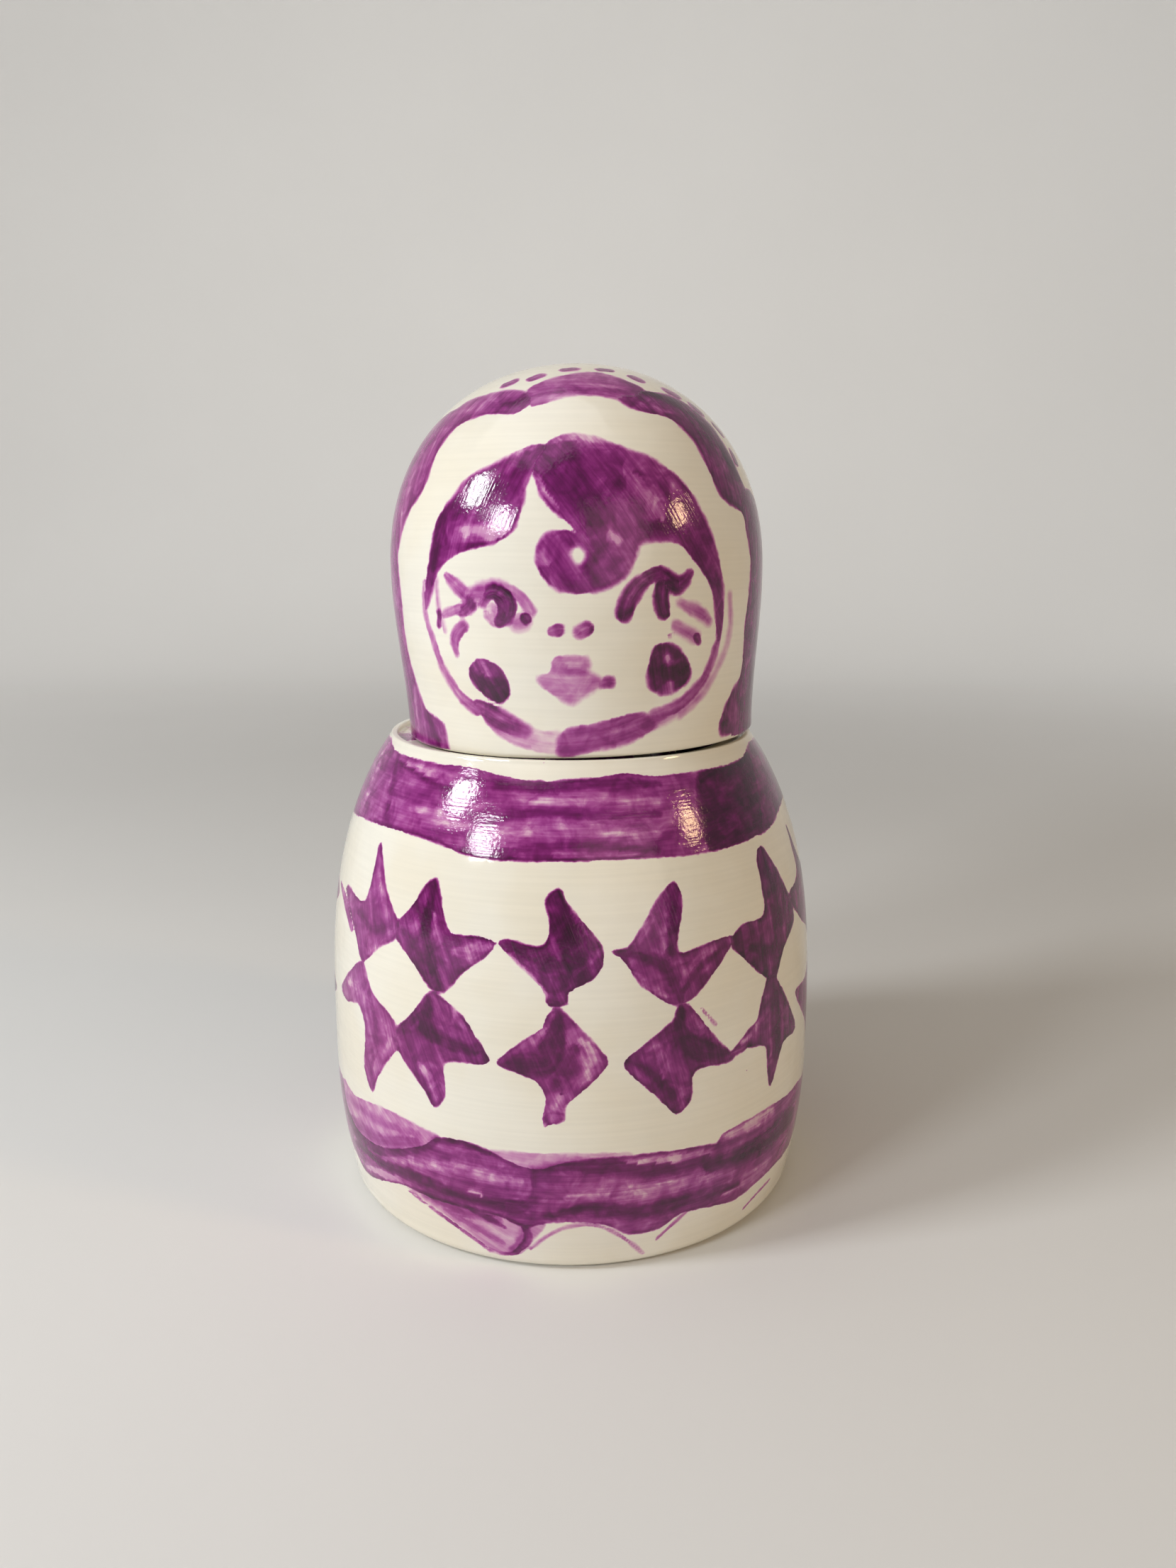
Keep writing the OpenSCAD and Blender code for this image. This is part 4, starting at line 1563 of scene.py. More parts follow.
    # The broad scalloped band above the foot.
    BOTTOM_BAND_UPPER = (
        483, 1518, 490, 1560, 508, 1598, 545, 1620, 598, 1616, 612, 1606, 640, 1607, 680, 1619, 715, 1637,
        755, 1650, 800, 1640, 850, 1634, 900, 1630, 1012, 1613, 1017, 1602, 1060, 1577, 1110, 1545,
        1130, 1520,
    )
    BOTTOM_BAND_LOWER = (
        499, 1618, 522, 1658, 570, 1672, 613, 1692, 663, 1706, 704, 1716, 740, 1732, 762, 1727, 800, 1724,
        855, 1728, 887, 1741, 930, 1733, 960, 1712, 1030, 1695, 1065, 1670, 1100, 1635, 1113, 1615,
    )
    BOTTOM_BAND_LEFT_END = (
        484, 1520, 500, 1545, 545, 1565, 600, 1594, 622, 1606, 606, 1622, 545, 1632, 505, 1608, 488, 1565,
    )
    BOTTOM_BAND_FADE = (
        690, 1624, 750, 1627, 830, 1628, 890, 1627, 900, 1640, 800, 1645, 752, 1654, 715, 1642,
    )
    BOTTOM_BAND_POINT = (
        570, 1670, 613, 1688, 663, 1702, 704, 1712, 742, 1728, 770, 1727, 752, 1750, 737, 1768, 720, 1770,
        700, 1766, 660, 1738, 620, 1708, 585, 1684,
    )
    BOTTOM_BAND: Marks = (
        BandMark("bottom band", BRUSH, 1.0, Trace(BOTTOM_BAND_UPPER), Trace(BOTTOM_BAND_LOWER), scallop=5.0),
        patch("bottom left end", WASH, 0.42, (1, 0.6), *BOTTOM_BAND_LEFT_END),
        patch("bottom middle fade", WASH, 0.3, (1, 0.1), *BOTTOM_BAND_FADE),
        patch("point wash", WASH, 0.32, (1, 0.6), *BOTTOM_BAND_POINT),
        load("bottom left wash", -0.35, (4, 8, 8, 6), 540, 1634, 580, 1640, 640, 1648),
        load("left end lower streak", 0.45, (6, 10, 8), 492, 1574, 530, 1606, 588, 1612),
        load("left end middle streak", 0.28, (4, 7, 5), 490, 1545, 530, 1580, 590, 1600),
        load("point upper streak", 0.55, (6, 10, 8), 600, 1686, 650, 1706, 700, 1722),
        load("point middle streak", 0.4, (3, 6, 4), 626, 1706, 668, 1730, 708, 1754),
        load("point tip streak", 0.5, (4, 7, 5), 742, 1732, 736, 1750, 722, 1764),
        load("bottom white gap", -1.2, (2, 4, 2), 664, 1682, 680, 1688, 693, 1691),
        load("bottom left light", -0.45, (5, 12, 6), 640, 1640, 690, 1660, 735, 1668),
        load("bottom left stroke", 0.8, (5, 8, 9, 8), 503, 1612, 540, 1642, 590, 1662, 640, 1684, 668, 1694),
        load("bottom left upper edge", 0.7, (3, 6, 3), 612, 1608, 650, 1612, 690, 1628),
        load("bottom middle pool", 0.8, (5, 11, 13, 8), 650, 1686, 690, 1696, 730, 1704, 752, 1694),
        load("bottom seam", 0.5, 3, 752, 1648, 753, 1680, 750, 1722),
        load(
            "bottom upper stroke", 0.65, (5, 12, 13, 6),
            756, 1652, 810, 1645, 870, 1650, 950, 1650, 1000, 1635,
        ),
        load("bottom broad light", -0.35, (5, 10, 10, 5), 800, 1690, 880, 1682, 950, 1672, 1005, 1660),
        load(
            "bottom lower stroke", 0.7, (5, 12, 12, 8),
            770, 1716, 830, 1706, 910, 1710, 985, 1690, 1040, 1672,
        ),
        load("bottom upper light", -0.5, (4, 7, 4), 885, 1641, 950, 1635, 1005, 1625),
        load("bottom upper edge", 0.8, (2, 4, 3), 930, 1624, 975, 1618, 1012, 1614),
        load("bottom right stroke", 0.9, (10, 18, 20, 16), 1000, 1645, 1045, 1632, 1085, 1607, 1115, 1577),
        load("bottom right wash", -0.55, (5, 10, 7), 1025, 1604, 1055, 1590, 1090, 1568),
        load("bottom right light", -0.5, (4, 8, 5), 1020, 1685, 1050, 1668, 1080, 1645),
        load("far left light", -0.8, (3, 7, 5), 518, 1646, 545, 1658, 575, 1672),
        brush("point left line", 0.7, (2, 3, 3), 577, 1680, 631, 1720, 692, 1764),
        brush("point middle line", 0.6, (3, 5, 2), 664, 1706, 688, 1718, 712, 1732),
        brush("point foot line", 0.7, (2, 3, 2), 690, 1763, 712, 1769, 730, 1768),
        brush("point right line", 1.0, (4, 6, 4), 738, 1726, 745, 1748, 728, 1767),
        wash(
            "scallop line", 0.5, (2, 3, 2),
            748, 1762, 772, 1744, 798, 1732, 835, 1728, 868, 1739, 907, 1767,
        ),
        wash("right scallop line", 0.6, (2, 3, 2), 926, 1748, 948, 1728, 968, 1710),
        brush("right stray line", 0.7, (2, 3, 2), 1048, 1706, 1062, 1690, 1085, 1665),
    )

    def marks(self) -> List[Mark]:
        """All marks of the body."""
        shapes = [*self.TOP_BAND, *self.stars(), *self.back_stars(), *self.BOTTOM_BAND]
        return [*shapes, *self.UPPER_STROKES, *self.LOWER_STROKES, *self.specks()]

    def stars(self) -> List[Mark]:
        """The filled shapes of the stars in sight.

        Returns:
            Their marks.
        """
        rows = [*zip(self.UPPER_STARS, self.UPPER_TONES), *zip(self.LOWER_STARS, self.LOWER_TONES)]
        grain = self.STAR_GRAIN
        marks: List[Mark] = [patch("star in sight", BRUSH, tone, grain, *shape) for shape, tone in rows]
        for shape, tone in zip(self.SIXTH_STARS, self.SIXTH_TONES):
            marks.append(PatchMark("sixth star", BRUSH, tone, grain, (Trace(shape, False),)))
        return marks

    def back_stars(self) -> List[Mark]:
        """The rows of stars carried on round the sides and the back.

        Sines that are out of step stand in for an unsteady hand.

        Returns:
            Their marks.
        """
        marks: List[Mark] = []
        lean, unevenness, bow = 0.12, 0.6, 0.6
        for row, middle in enumerate(self.BACK_ROWS):
            for k, azimuth in enumerate(self.BACK_STARS):
                drift = azimuth + math.sin(2.1 * k + 1.3 * row)
                skew = math.cos(1.7 * k + 2.2 * row)
                corners: List[float] = []
                for n, (x, z) in enumerate(self.BACK_SHAPE):
                    push = unevenness * math.sin(3.1 * n + 1.9 * k + row)
                    across = self.BACK_WIDTH * (x + skew * z * lean + push)
                    corners += [drift + across, middle + 0.5 * skew + z + unevenness * push]
                shape = (Trace(tuple(corners), False),)
                marks.append(PatchMark("back star", BRUSH, 1.15 + 0.3 * skew, self.STAR_GRAIN, shape))
                for n, (x, z) in enumerate(self.BACK_STROKES):
                    end_x, end_z = self.BACK_WIDTH * x, z
                    start = (drift, middle - 0.5)
                    bend = (drift + end_x * bow, middle + bow * end_z)
                    reach = (*start, *bend, drift + end_x, middle + end_z)
                    tone = 0.6 if (n + k + row) % 3 else -0.5
                    trace = Trace(reach, False)
                    marks.append(BrushMark("back star stroke", LOAD, tone, (12, 11, 5), trace))
        return marks

    def specks(self) -> List[Mark]:
        """Dark specks of iron in the glaze of the body: those in sight, and more by rule behind.

        Returns:
            Their marks.
        """
        seen = ((792, 1543), (1053, 1510), (766, 1076))
        tone, half_width, length = 3.0, 0.7, 0.3
        marks: List[Mark] = [wash("body speck", tone, half_width, x, y, x + 1, y) for x, y in seen]
        count, first, step, low, span, hop = 9, 95, 21, 30, 29, 0.62
        for k in range(count):
            azimuth = first + step * k
            height = low + span * (k * hop % 1)
            spot = (azimuth, height, azimuth + length, height)
            marks.append(BrushMark("back speck", WASH, tone, half_width, Trace(spot, False)))
        return marks


@dataclass(frozen=True)
class PaintHand:
    """How paint lies on one kind of shell.

    Attributes:
        bleed: how far a painted edge bleeds into the glaze
        pool: how much pigment gathers along a stroke's edge
    """

    bleed: float
    pool: float


@dataclass(frozen=True)
class CoatHabit:
    """How one coat differs from a plain stroke.

    Attributes:
        soft: its share of the bleeding
        ragged: how far its edge frays, in millimetres
        pool: what gathers along its edge, or nothing said for the hand's own amount
    """

    soft: float
    ragged: float
    pool: Optional[float] = None


BODY_HAND = PaintHand(bleed=0.2, pool=0.8)
HEAD_HAND = PaintHand(bleed=0.46, pool=0.35)
INNERMOST_HAND = PaintHand(bleed=0.25, pool=0.8)
HABITS: Dict[PaintLayer, CoatHabit] = {
    WASH: CoatHabit(soft=1.3, ragged=0.5, pool=0.2),
    BRUSH: CoatHabit(soft=1.0, ragged=0.6),
    LOAD: CoatHabit(soft=3.4, ragged=1.3, pool=0.0),
}


@dataclass(frozen=True)
class BrushGrain:
    """What the brush leaves in a coat. Scales are per millimetre, and bands are ranges of noise.

    Attributes:
        bleed_shares: least and most bleeding
        broad: scale of broad streaks along and across a stroke
        bristle: scale of single bristles' streaks along and across it
        bristle_layer: keeps the bristles' noise apart from the broad streaks'
        weights: how much broad streaks, bristles and swirls change a coat
        least: what the thinnest streak keeps
        pool_w: width of the darker line along an edge, in millimetres
        wet_seed: keeps the wet places' noise apart from the others
    """

    NAME = "brushed_coat"
    INPUTS = {
        "NodeSocketVector": ("Here", "Place"),
        "NodeSocketFloat": ("Tone", "Bleed", "Ragged", "Streak", "Pool", "Seed"),
    }
    OUTPUTS = ("Pigment", "Ridge", "Cover")

    fray_scale: float = 0.9
    bleed_scale: float = 0.22
    bleed_band: Pair = (0.38, 0.62)
    bleed_shares: Pair = (0.5, 1.7)
    broad: Pair = (0.05, 0.55)
    bristle: Pair = (0.12, 2.4)
    bristle_layer: float = 3.0
    swirl_scale: float = 0.26
    swirl_twist: float = 1.2
    weights: Tuple[float, float, float] = (2.6, 1.2, 2.9)
    least: float = 0.12
    pool_w: float = 0.38
    wet_scale: float = 0.16
    wet_band: Pair = (0.38, 0.6)
    wet_seed: float = 2.0

    def group(self) -> bpy.types.ShaderNodeTree:
        """The node group that turns one coat's point values into pigment.

        Returns:
            The group, built once.
        """
        known = bpy.data.node_groups.get(self.NAME)
        if known:
            return known
        group = bpy.data.node_groups.new(self.NAME, "ShaderNodeTree")
        for kind, names in self.INPUTS.items():
            for name in names:
                group.interface.new_socket(name, in_out="INPUT", socket_type=kind)
        for name in self.OUTPUTS:
            group.interface.new_socket(name, in_out="OUTPUT", socket_type="NodeSocketFloat")
        s = Sketch(group)
        given = s.add("NodeGroupInput").outputs
        here, seed = given["Here"], given["Seed"]
        reach, along, across = s.split(given["Place"])
        fray = s.centred(s.noise(here, self.fray_scale, 3.0, seed))
        reach = s.plus(reach, s.times(fray, given["Ragged"]))
        bleeding = s.noise(here, self.bleed_scale, 1.0, seed)
        bleeding = s.remap(bleeding, *self.bleed_band, *self.bleed_shares)
        soft = s.times(given["Bleed"], bleeding)
        cover = s.remap(reach, soft, s.times(soft, -1.0))
        broad, bristle = (
            s.noise(s.join(s.times(along, scales[0]), s.times(across, scales[1]), layer), 1.0, 2.0, seed)
            for scales, layer in ((self.broad, 0.0), (self.bristle, self.bristle_layer))
        )
        swirl = s.noise(here, self.swirl_scale, 3.0, seed, twist=self.swirl_twist)
        changes = zip((broad, bristle, swirl), self.weights)
        sway = s.plus(*(s.times(s.centred(value), weight) for value, weight in changes))
        strength = s.math("MAXIMUM", s.plus(1.0, s.times(sway, given["Streak"])), self.least)
        rim = s.math("EXPONENT", s.math("DIVIDE", s.math("MINIMUM", reach, 0.0), self.pool_w))
        wet = s.remap(s.noise(here, self.wet_scale, 1.0, s.plus(seed, self.wet_seed)), *self.wet_band)
        strength = s.plus(strength, s.times(rim, wet, given["Pool"]))
        out = s.add("NodeGroupOutput").inputs
        s.feed(out["Pigment"], s.times(given["Tone"], cover, strength))
        s.feed(out["Ridge"], s.times(cover, s.plus(bristle, broad)))
        s.feed(out["Cover"], cover)
        return group


def emptied(owner: Union[bpy.types.Material, bpy.types.World]) -> Sketch:
    """Clears the nodes of a material or world.

    Args:
        owner: the material or world

    Returns:
        A sketch to draw its nodes in.
    """
    owner.use_nodes = True
    owner.node_tree.nodes.clear()
    return Sketch(owner.node_tree)


class GlazeNoise(Enum):
    """What each noise of the glaze adds to its doll's seed."""

    CLOUD = 0
    GLOSS = 2
    RINGS = 3
    WAVES = 4
    GRIT = 5
    CLAY = 6


@dataclass(frozen=True)
class GlazeFinish:
    """Cream glaze over purple brushwork on slip-cast clay, in the outer doll's millimetres.

    Attributes:
        share: size of the doll against the outer doll
        pass_share: how much red, green and blue one measure of pigment lets through
        thinnest: share of a coat that is left where it was lifted
        coat_seed: what parts the noises of the coats
        ring_draw: how far the turning lines are drawn out round the doll
        dull_limit: measures of pigment above which the glaze gets no duller
    """

    name: str
    seed: float
    share: float
    hand: PaintHand
    grain: BrushGrain = BrushGrain()
    cream: Colour = (0.84, 0.78, 0.65, 1.0)
    cream_pale: Colour = (0.87, 0.83, 0.73, 1.0)
    clay: Colour = (0.84, 0.77, 0.67, 1.0)
    clay_cover: float = 0.85
    pass_share: Tuple[float, float, float] = (0.33, 0.036, 0.305)
    streak: float = 0.62
    thinnest: float = 0.3
    coat_seed: float = 5.3
    wash_ridge: float = 0.5
    cloud_scale: float = 0.045
    cloud_band: Pair = (0.35, 0.65)
    ring_scale: float = 1.7
    ring_draw: float = 0.02
    ring_band: Pair = (0.3, 0.7)
    ring_tint: Pair = (0.98, 1.015)
    ring_h: float = 0.007
    gloss_scale: float = 0.35
    gloss_band: Pair = (0.3, 0.7)
    gloss: Pair = (0.06, 0.13)
    dull_by_pigment: float = 0.015
    dull_limit: float = 1.5
    dull_by_clay: float = 0.5
    wave_scale: float = 0.22
    wave_h: float = 0.10
    ridge_h: float = 0.024
    grit_scale: float = 1.7
    grit_h: float = 0.036
    clay_scale: float = 3.5
    clay_h: float = 0.12
    ior: float = 1.52

    def build(self) -> bpy.types.Material:
        """Makes the material.

        Returns:
            The material, whose paint comes from the piece's own point values.
        """
        material = bpy.data.materials.new(self.name)
        s = emptied(material)
        here = s.vector("SCALE", s.run("ShaderNodeTexCoord", {}, "Object"), 1 / (MM * self.share))
        pigment, ridge = self._pigment(s, here)
        bare = s.carried("bare")
        x, y, z = s.split(here)
        drawn = s.join(s.times(x, self.ring_draw), s.times(y, self.ring_draw), z)
        rings = self._noise(s, drawn, self.ring_scale, 2.0, GlazeNoise.RINGS)
        shader = s.add("ShaderNodeBsdfPrincipled")
        s.feed(shader.inputs["Base Color"], self._colour(s, here, pigment, bare, rings))
        s.feed(shader.inputs["Roughness"], self._roughness(s, here, pigment, bare))
        shader.inputs["IOR"].default_value = self.ior
        s.feed(shader.inputs["Normal"], self._bump(s, here, ridge, bare, rings))
        s.feed(s.add("ShaderNodeOutputMaterial").inputs["Surface"], shader.outputs[0])
        return material

    def _noise(self, s: Sketch, here: Feed, scale: float, detail: float, kind: GlazeNoise) -> Socket:
        """One of the glaze's own noises."""
        return s.noise(here, scale, detail, self.seed + kind.value)

    def _pigment(self, s: Sketch, here: Feed) -> Tuple[Socket, Socket]:
        """Adds up the coats of pigment.

        Args:
            s: the sketch to draw in
            here: place in millimetres

        Returns:
            Measures of pigment at the point, and the height of the brush's ridges.
        """
        coats = []
        for k, (layer, habit) in enumerate(HABITS.items()):
            coat = s.add("ShaderNodeGroup", node_tree=self.grain.group())
            s.feed(coat.inputs["Here"], here)
            s.feed(coat.inputs["Place"], s.carried(f"{layer.value}_place", "Vector"))
            s.feed(coat.inputs["Tone"], s.carried(f"{layer.value}_tone"))
            coat.inputs["Bleed"].default_value = self.hand.bleed * habit.soft
            coat.inputs["Ragged"].default_value = habit.ragged
            coat.inputs["Streak"].default_value = self.streak
            coat.inputs["Pool"].default_value = self.hand.pool if habit.pool is None else habit.pool
            coat.inputs["Seed"].default_value = self.seed + self.coat_seed * k
            coats.append(coat.outputs)
        washed, brushed, loaded = coats
        under = s.plus(washed["Pigment"], brushed["Pigment"])
        cover = s.math("MAXIMUM", washed["Cover"], brushed["Cover"])
        total = s.plus(under, s.times(loaded["Pigment"], cover))
        total = s.math("MAXIMUM", total, s.times(under, self.thinnest))
        return total, s.plus(brushed["Ridge"], s.times(washed["Ridge"], self.wash_ridge))

    def _colour(self, s: Sketch, here: Feed, pigment: Feed, bare: Feed, rings: Feed) -> Socket:
        """Colour of clay, glaze and pigment.

        Args:
            s: the sketch to draw in
            here: place in millimetres
            pigment: measures of pigment
            bare: how far the clay shows
            rings: the turning lines

        Returns:
            The base colour.
        """
        cloud = self._noise(s, here, self.cloud_scale, 3.0, GlazeNoise.CLOUD)
        ground = s.blend(s.remap(cloud, *self.cloud_band), self.cream, self.cream_pale)
        ground = s.blend(s.times(bare, self.clay_cover), ground, self.clay)
        ground = s.vector("SCALE", ground, s.remap(rings, *self.ring_band, *self.ring_tint))
        through = [s.math("POWER", share, pigment) for share in self.pass_share]
        stain = s.run("ShaderNodeCombineColor", dict(zip(("Red", "Green", "Blue"), through)))
        return s.vector("MULTIPLY", ground, stain)

    def _roughness(self, s: Sketch, here: Feed, pigment: Feed, bare: Feed) -> Socket:
        """Gloss of the glaze, a little duller over pigment and dull on bare clay.

        Args:
            s: the sketch to draw in
            here: place in millimetres
            pigment: measures of pigment
            bare: how far the clay shows

        Returns:
            The roughness.
        """
        cloud = self._noise(s, here, self.gloss_scale, 3.0, GlazeNoise.GLOSS)
        gloss = s.remap(cloud, *self.gloss_band, *self.gloss)
        gloss = s.plus(gloss, s.times(s.math("MINIMUM", pigment, self.dull_limit), self.dull_by_pigment))
        return s.math("ADD", gloss, s.times(bare, self.dull_by_clay), clamp=True)

    def _bump(self, s: Sketch, here: Feed, ridge: Feed, bare: Feed, rings: Feed) -> Socket:
        """Turning lines under the glaze, the glaze's own waves, and ridges and grit over pigment.

        Args:
            s: the sketch to draw in
            here: place in millimetres
            ridge: height of the brush's ridges
            bare: how far the clay shows
            rings: the turning lines

        Returns:
            The surface normal.
        """
        grit = self._noise(s, here, self.grit_scale, 2.0, GlazeNoise.GRIT)
        clay = self._noise(s, here, self.clay_scale, 3.0, GlazeNoise.CLAY)
        height = s.plus(
            s.times(rings, self.ring_h),
            s.times(self._noise(s, here, self.wave_scale, 2.0, GlazeNoise.WAVES), self.wave_h),
            s.times(ridge, self.ridge_h),
            s.times(grit, s.math("MINIMUM", ridge, 1.0), self.grit_h),
            s.times(clay, bare, self.clay_h),
        )
        feeds = {"Strength": 1.0, "Distance": MM * self.share, "Height": height}
        return s.run("ShaderNodeBump", feeds, "Normal")


def seen_directly(s: Sketch) -> Socket:
    """Tells rays that show a surface or a reflection of it from those that light something.

    Args:
        s: the sketch to draw in

    Returns:
        One where the camera, a mirror or glass looks.
    """
    path = s.add("ShaderNodeLightPath").outputs
    mirrored = s.math("MAXIMUM", path["Is Glossy Ray"], path["Is Transmission Ray"])
    return s.math("MAXIMUM", path["Is Camera Ray"], mirrored)


@dataclass(frozen=True)
class StageFinish:
    """Plain pale sweep of floor and backdrop.

    Attributes:
        glow: how far the stage is lifted for the camera and reflections alone, away from the dolls
        glow_from: how far from the dolls that starts, in metres
        glow_to: where it is full, in metres
    """

    name: str = "pale_sweep"
    pale: Colour = (0.76, 0.75, 0.73, 1.0)
    paler: Colour = (0.80, 0.79, 0.77, 1.0)
    cloud_scale: float = 6.0
    roughness: float = 0.85
    glow: float = 0.36
    glow_from: float = 0.22
    glow_to: float = 1.10

    def build(self) -> bpy.types.Material:
        """Makes the material.

        Returns:
            A matt pale surface with a faint cloud in it.
        """
        material = bpy.data.materials.new(self.name)
        s = emptied(material)
        here = s.run("ShaderNodeTexCoord", {}, "Object")
        far = s.run("ShaderNodeVectorMath", {"Vector": here}, "Value", operation="LENGTH")
        colour = s.blend(s.noise(here, self.cloud_scale, 3.0), self.pale, self.paler)
        lift = s.times(s.remap(far, self.glow_from, self.glow_to, 0.0, self.glow), seen_directly(s))
        shader = s.add("ShaderNodeBsdfPrincipled")
        s.feed(shader.inputs["Base Color"], colour)
        s.feed(shader.inputs["Emission Color"], colour)
        s.feed(shader.inputs["Emission Strength"], lift)
        shader.inputs["Roughness"].default_value = self.roughness
        s.feed(s.add("ShaderNodeOutputMaterial").inputs["Surface"], shader.outputs[0])
        return material


@dataclass(frozen=True)
class Fineness:
    """How finely a doll's shells are turned."""

    segments: int
    spacing: float
    inside_rows: int


def unsteady(places: Array, number: int) -> Array:
    """How far the hand strayed from the outer doll's design, none on the outer doll itself.

    Args:
        places: places in the outer doll's millimetres
        number: the doll's number, 0 for the outer doll

    Returns:
        A shift for each place.
    """
    if number == 0:
        return np.zeros_like(places)
    phase = number * np.array([1.7, 2.9, 4.1])
    broad_sway, broad_run, small_sway, small_run = 0.9, 7.0, 0.5, 3.1
    broad = broad_sway * np.sin(places[:, [1, 2, 0]] / broad_run + phase)
    return broad + small_sway * np.sin(places[:, [2, 0, 1]] / small_run + 2 * phase)


@dataclass
class Workshop:
    """What all the dolls share: the turning tree, the grounds and the designs.

    Attributes:
        front_focus: how far the segments crowd to the front
        doll_seed: what parts the noises of the dolls
    """

    tree: TurnedShellTree
    body_ground: PaintGround
    head_ground: PaintGround
    body_marks: List[Mark] = field(default_factory=lambda: BodyBrushwork().marks())
    head_marks: List[Mark] = field(default_factory=lambda: HeadBrushwork().marks())
    unevenness: float = 0.10 * MM
    unevenness_scale: float = 45.0
    front_focus: float = 0.4
    doll_seed: float = 10.0

    def turn(
        self, name: str, number: int, outline: Outline, share: float, hand: PaintHand, fineness: Fineness
    ) -> bpy.types.Object:
        """Turns one shell and glazes it.

        Args:
            name: the piece's name without its ending
            number: its doll's number
            outline: the shell's rows
            share: size of its doll
            hand: how its paint lies
            fineness: how finely it is turned

        Returns:
            The shell, still without paint.
        """
        finish = GlazeFinish(f"{name}_glaze", self.doll_seed * number + 1, share, hand)
        settings = {
            "Segments": fineness.segments,
            "Front Focus": self.front_focus,
            "Unevenness": self.unevenness * share,
            "Unevenness Scale": self.unevenness_scale / share,
            "Seed": number,
        }
        return self.tree.turn(f"{name}_glazed", outline.table(), finish.build(), settings)

    def paint(
        self,
        piece: bpy.types.Object,
        number: int,
        share: float,
        body: bool = True,
        neck_z: float = math.inf,
    ) -> None:
        """Paints a piece: works out each coat at every point and stores it on the mesh.

        Args:
            piece: the shell, standing at the origin
            number: its doll's number
            share: size of its doll
            body: whether the design below the neck is the body's
            neck_z: height above which the head's design goes on
        """
        mesh = piece.data
        flat = np.zeros(len(mesh.vertices) * 3, np.float32)
        mesh.vertices.foreach_get("co", flat)
        local = flat.reshape(-1, 3).astype(float)
        painted = np.zeros(len(local), np.float32)
        mesh.attributes["painted"].data.foreach_get("value", painted)
        above = local[:, 2] > neck_z
        local[above, 2] -= neck_z
        if not body:
            above[:] = True
        totals = {layer: np.tile(PaintCoat.BLANK, (len(local), 1)) for layer in PaintLayer}
        for chosen, ground, marks in (
            (~above, self.body_ground, self.body_marks),
            (above, self.head_ground, self.head_marks),
        ):
            pick = np.flatnonzero((painted > 0.5) & chosen)
            if not len(pick):
                continue
            places = local[pick] / (MM * share)
            coat = PaintCoat(ground, places + unsteady(places, number))
            for mark in marks:
                mark.lay_on(coat)
            for layer, sheet in coat.sheets.items():
                totals[layer][pick] = sheet
        for layer, sheet in totals.items():
            place = mesh.attributes.new(f"{layer.value}_place", "FLOAT_VECTOR", "POINT")
            place.data.foreach_set("vector", sheet[:, :3].astype(np.float32).ravel())
            tone = mesh.attributes.new(f"{layer.value}_tone", "FLOAT", "POINT")
            tone.data.foreach_set("value", sheet[:, 3].astype(np.float32))


def foot_rows(outline: Outline, sizes: DollSizes, fineness: Fineness) -> None:
    """Adds the foot, flank and shoulder of a body, up to the rim.

    Args:
        outline: takes the rows
        sizes: the doll's sizes
        fineness: how finely it is turned
    """
    share = sizes.share
    edge_r = FORM.foot_edge_r * share
    recess = FORM.recess_depth * share
    flat_r = float(sizes.body_r(np.array([edge_r]))[0]) - edge_r
    ring_r = flat_r - FORM.foot_ring_w * share
    outline.line((0, recess), (ring_r, recess), Surface.RECESS)
    outline.line((ring_r, recess), (ring_r + recess, 0), Surface.RING_SIDE)
    outline.line((ring_r + recess, 0), (flat_r, 0), Surface.RING)
    outline.arc((flat_r, edge_r), edge_r, (-90, 0), Surface.FOOT_EDGE)
    end_z = FORM.belly_h * share + (sizes.rim_z - FORM.belly_h * share) * FORM.shoulder_end_share
    heights = np.linspace(edge_r, end_z, Surface.FLANK.value.rows)
    flank = np.column_stack([sizes.body_r(heights), heights])
    outline.add(evenly(flank, fineness.spacing), Surface.FLANK)


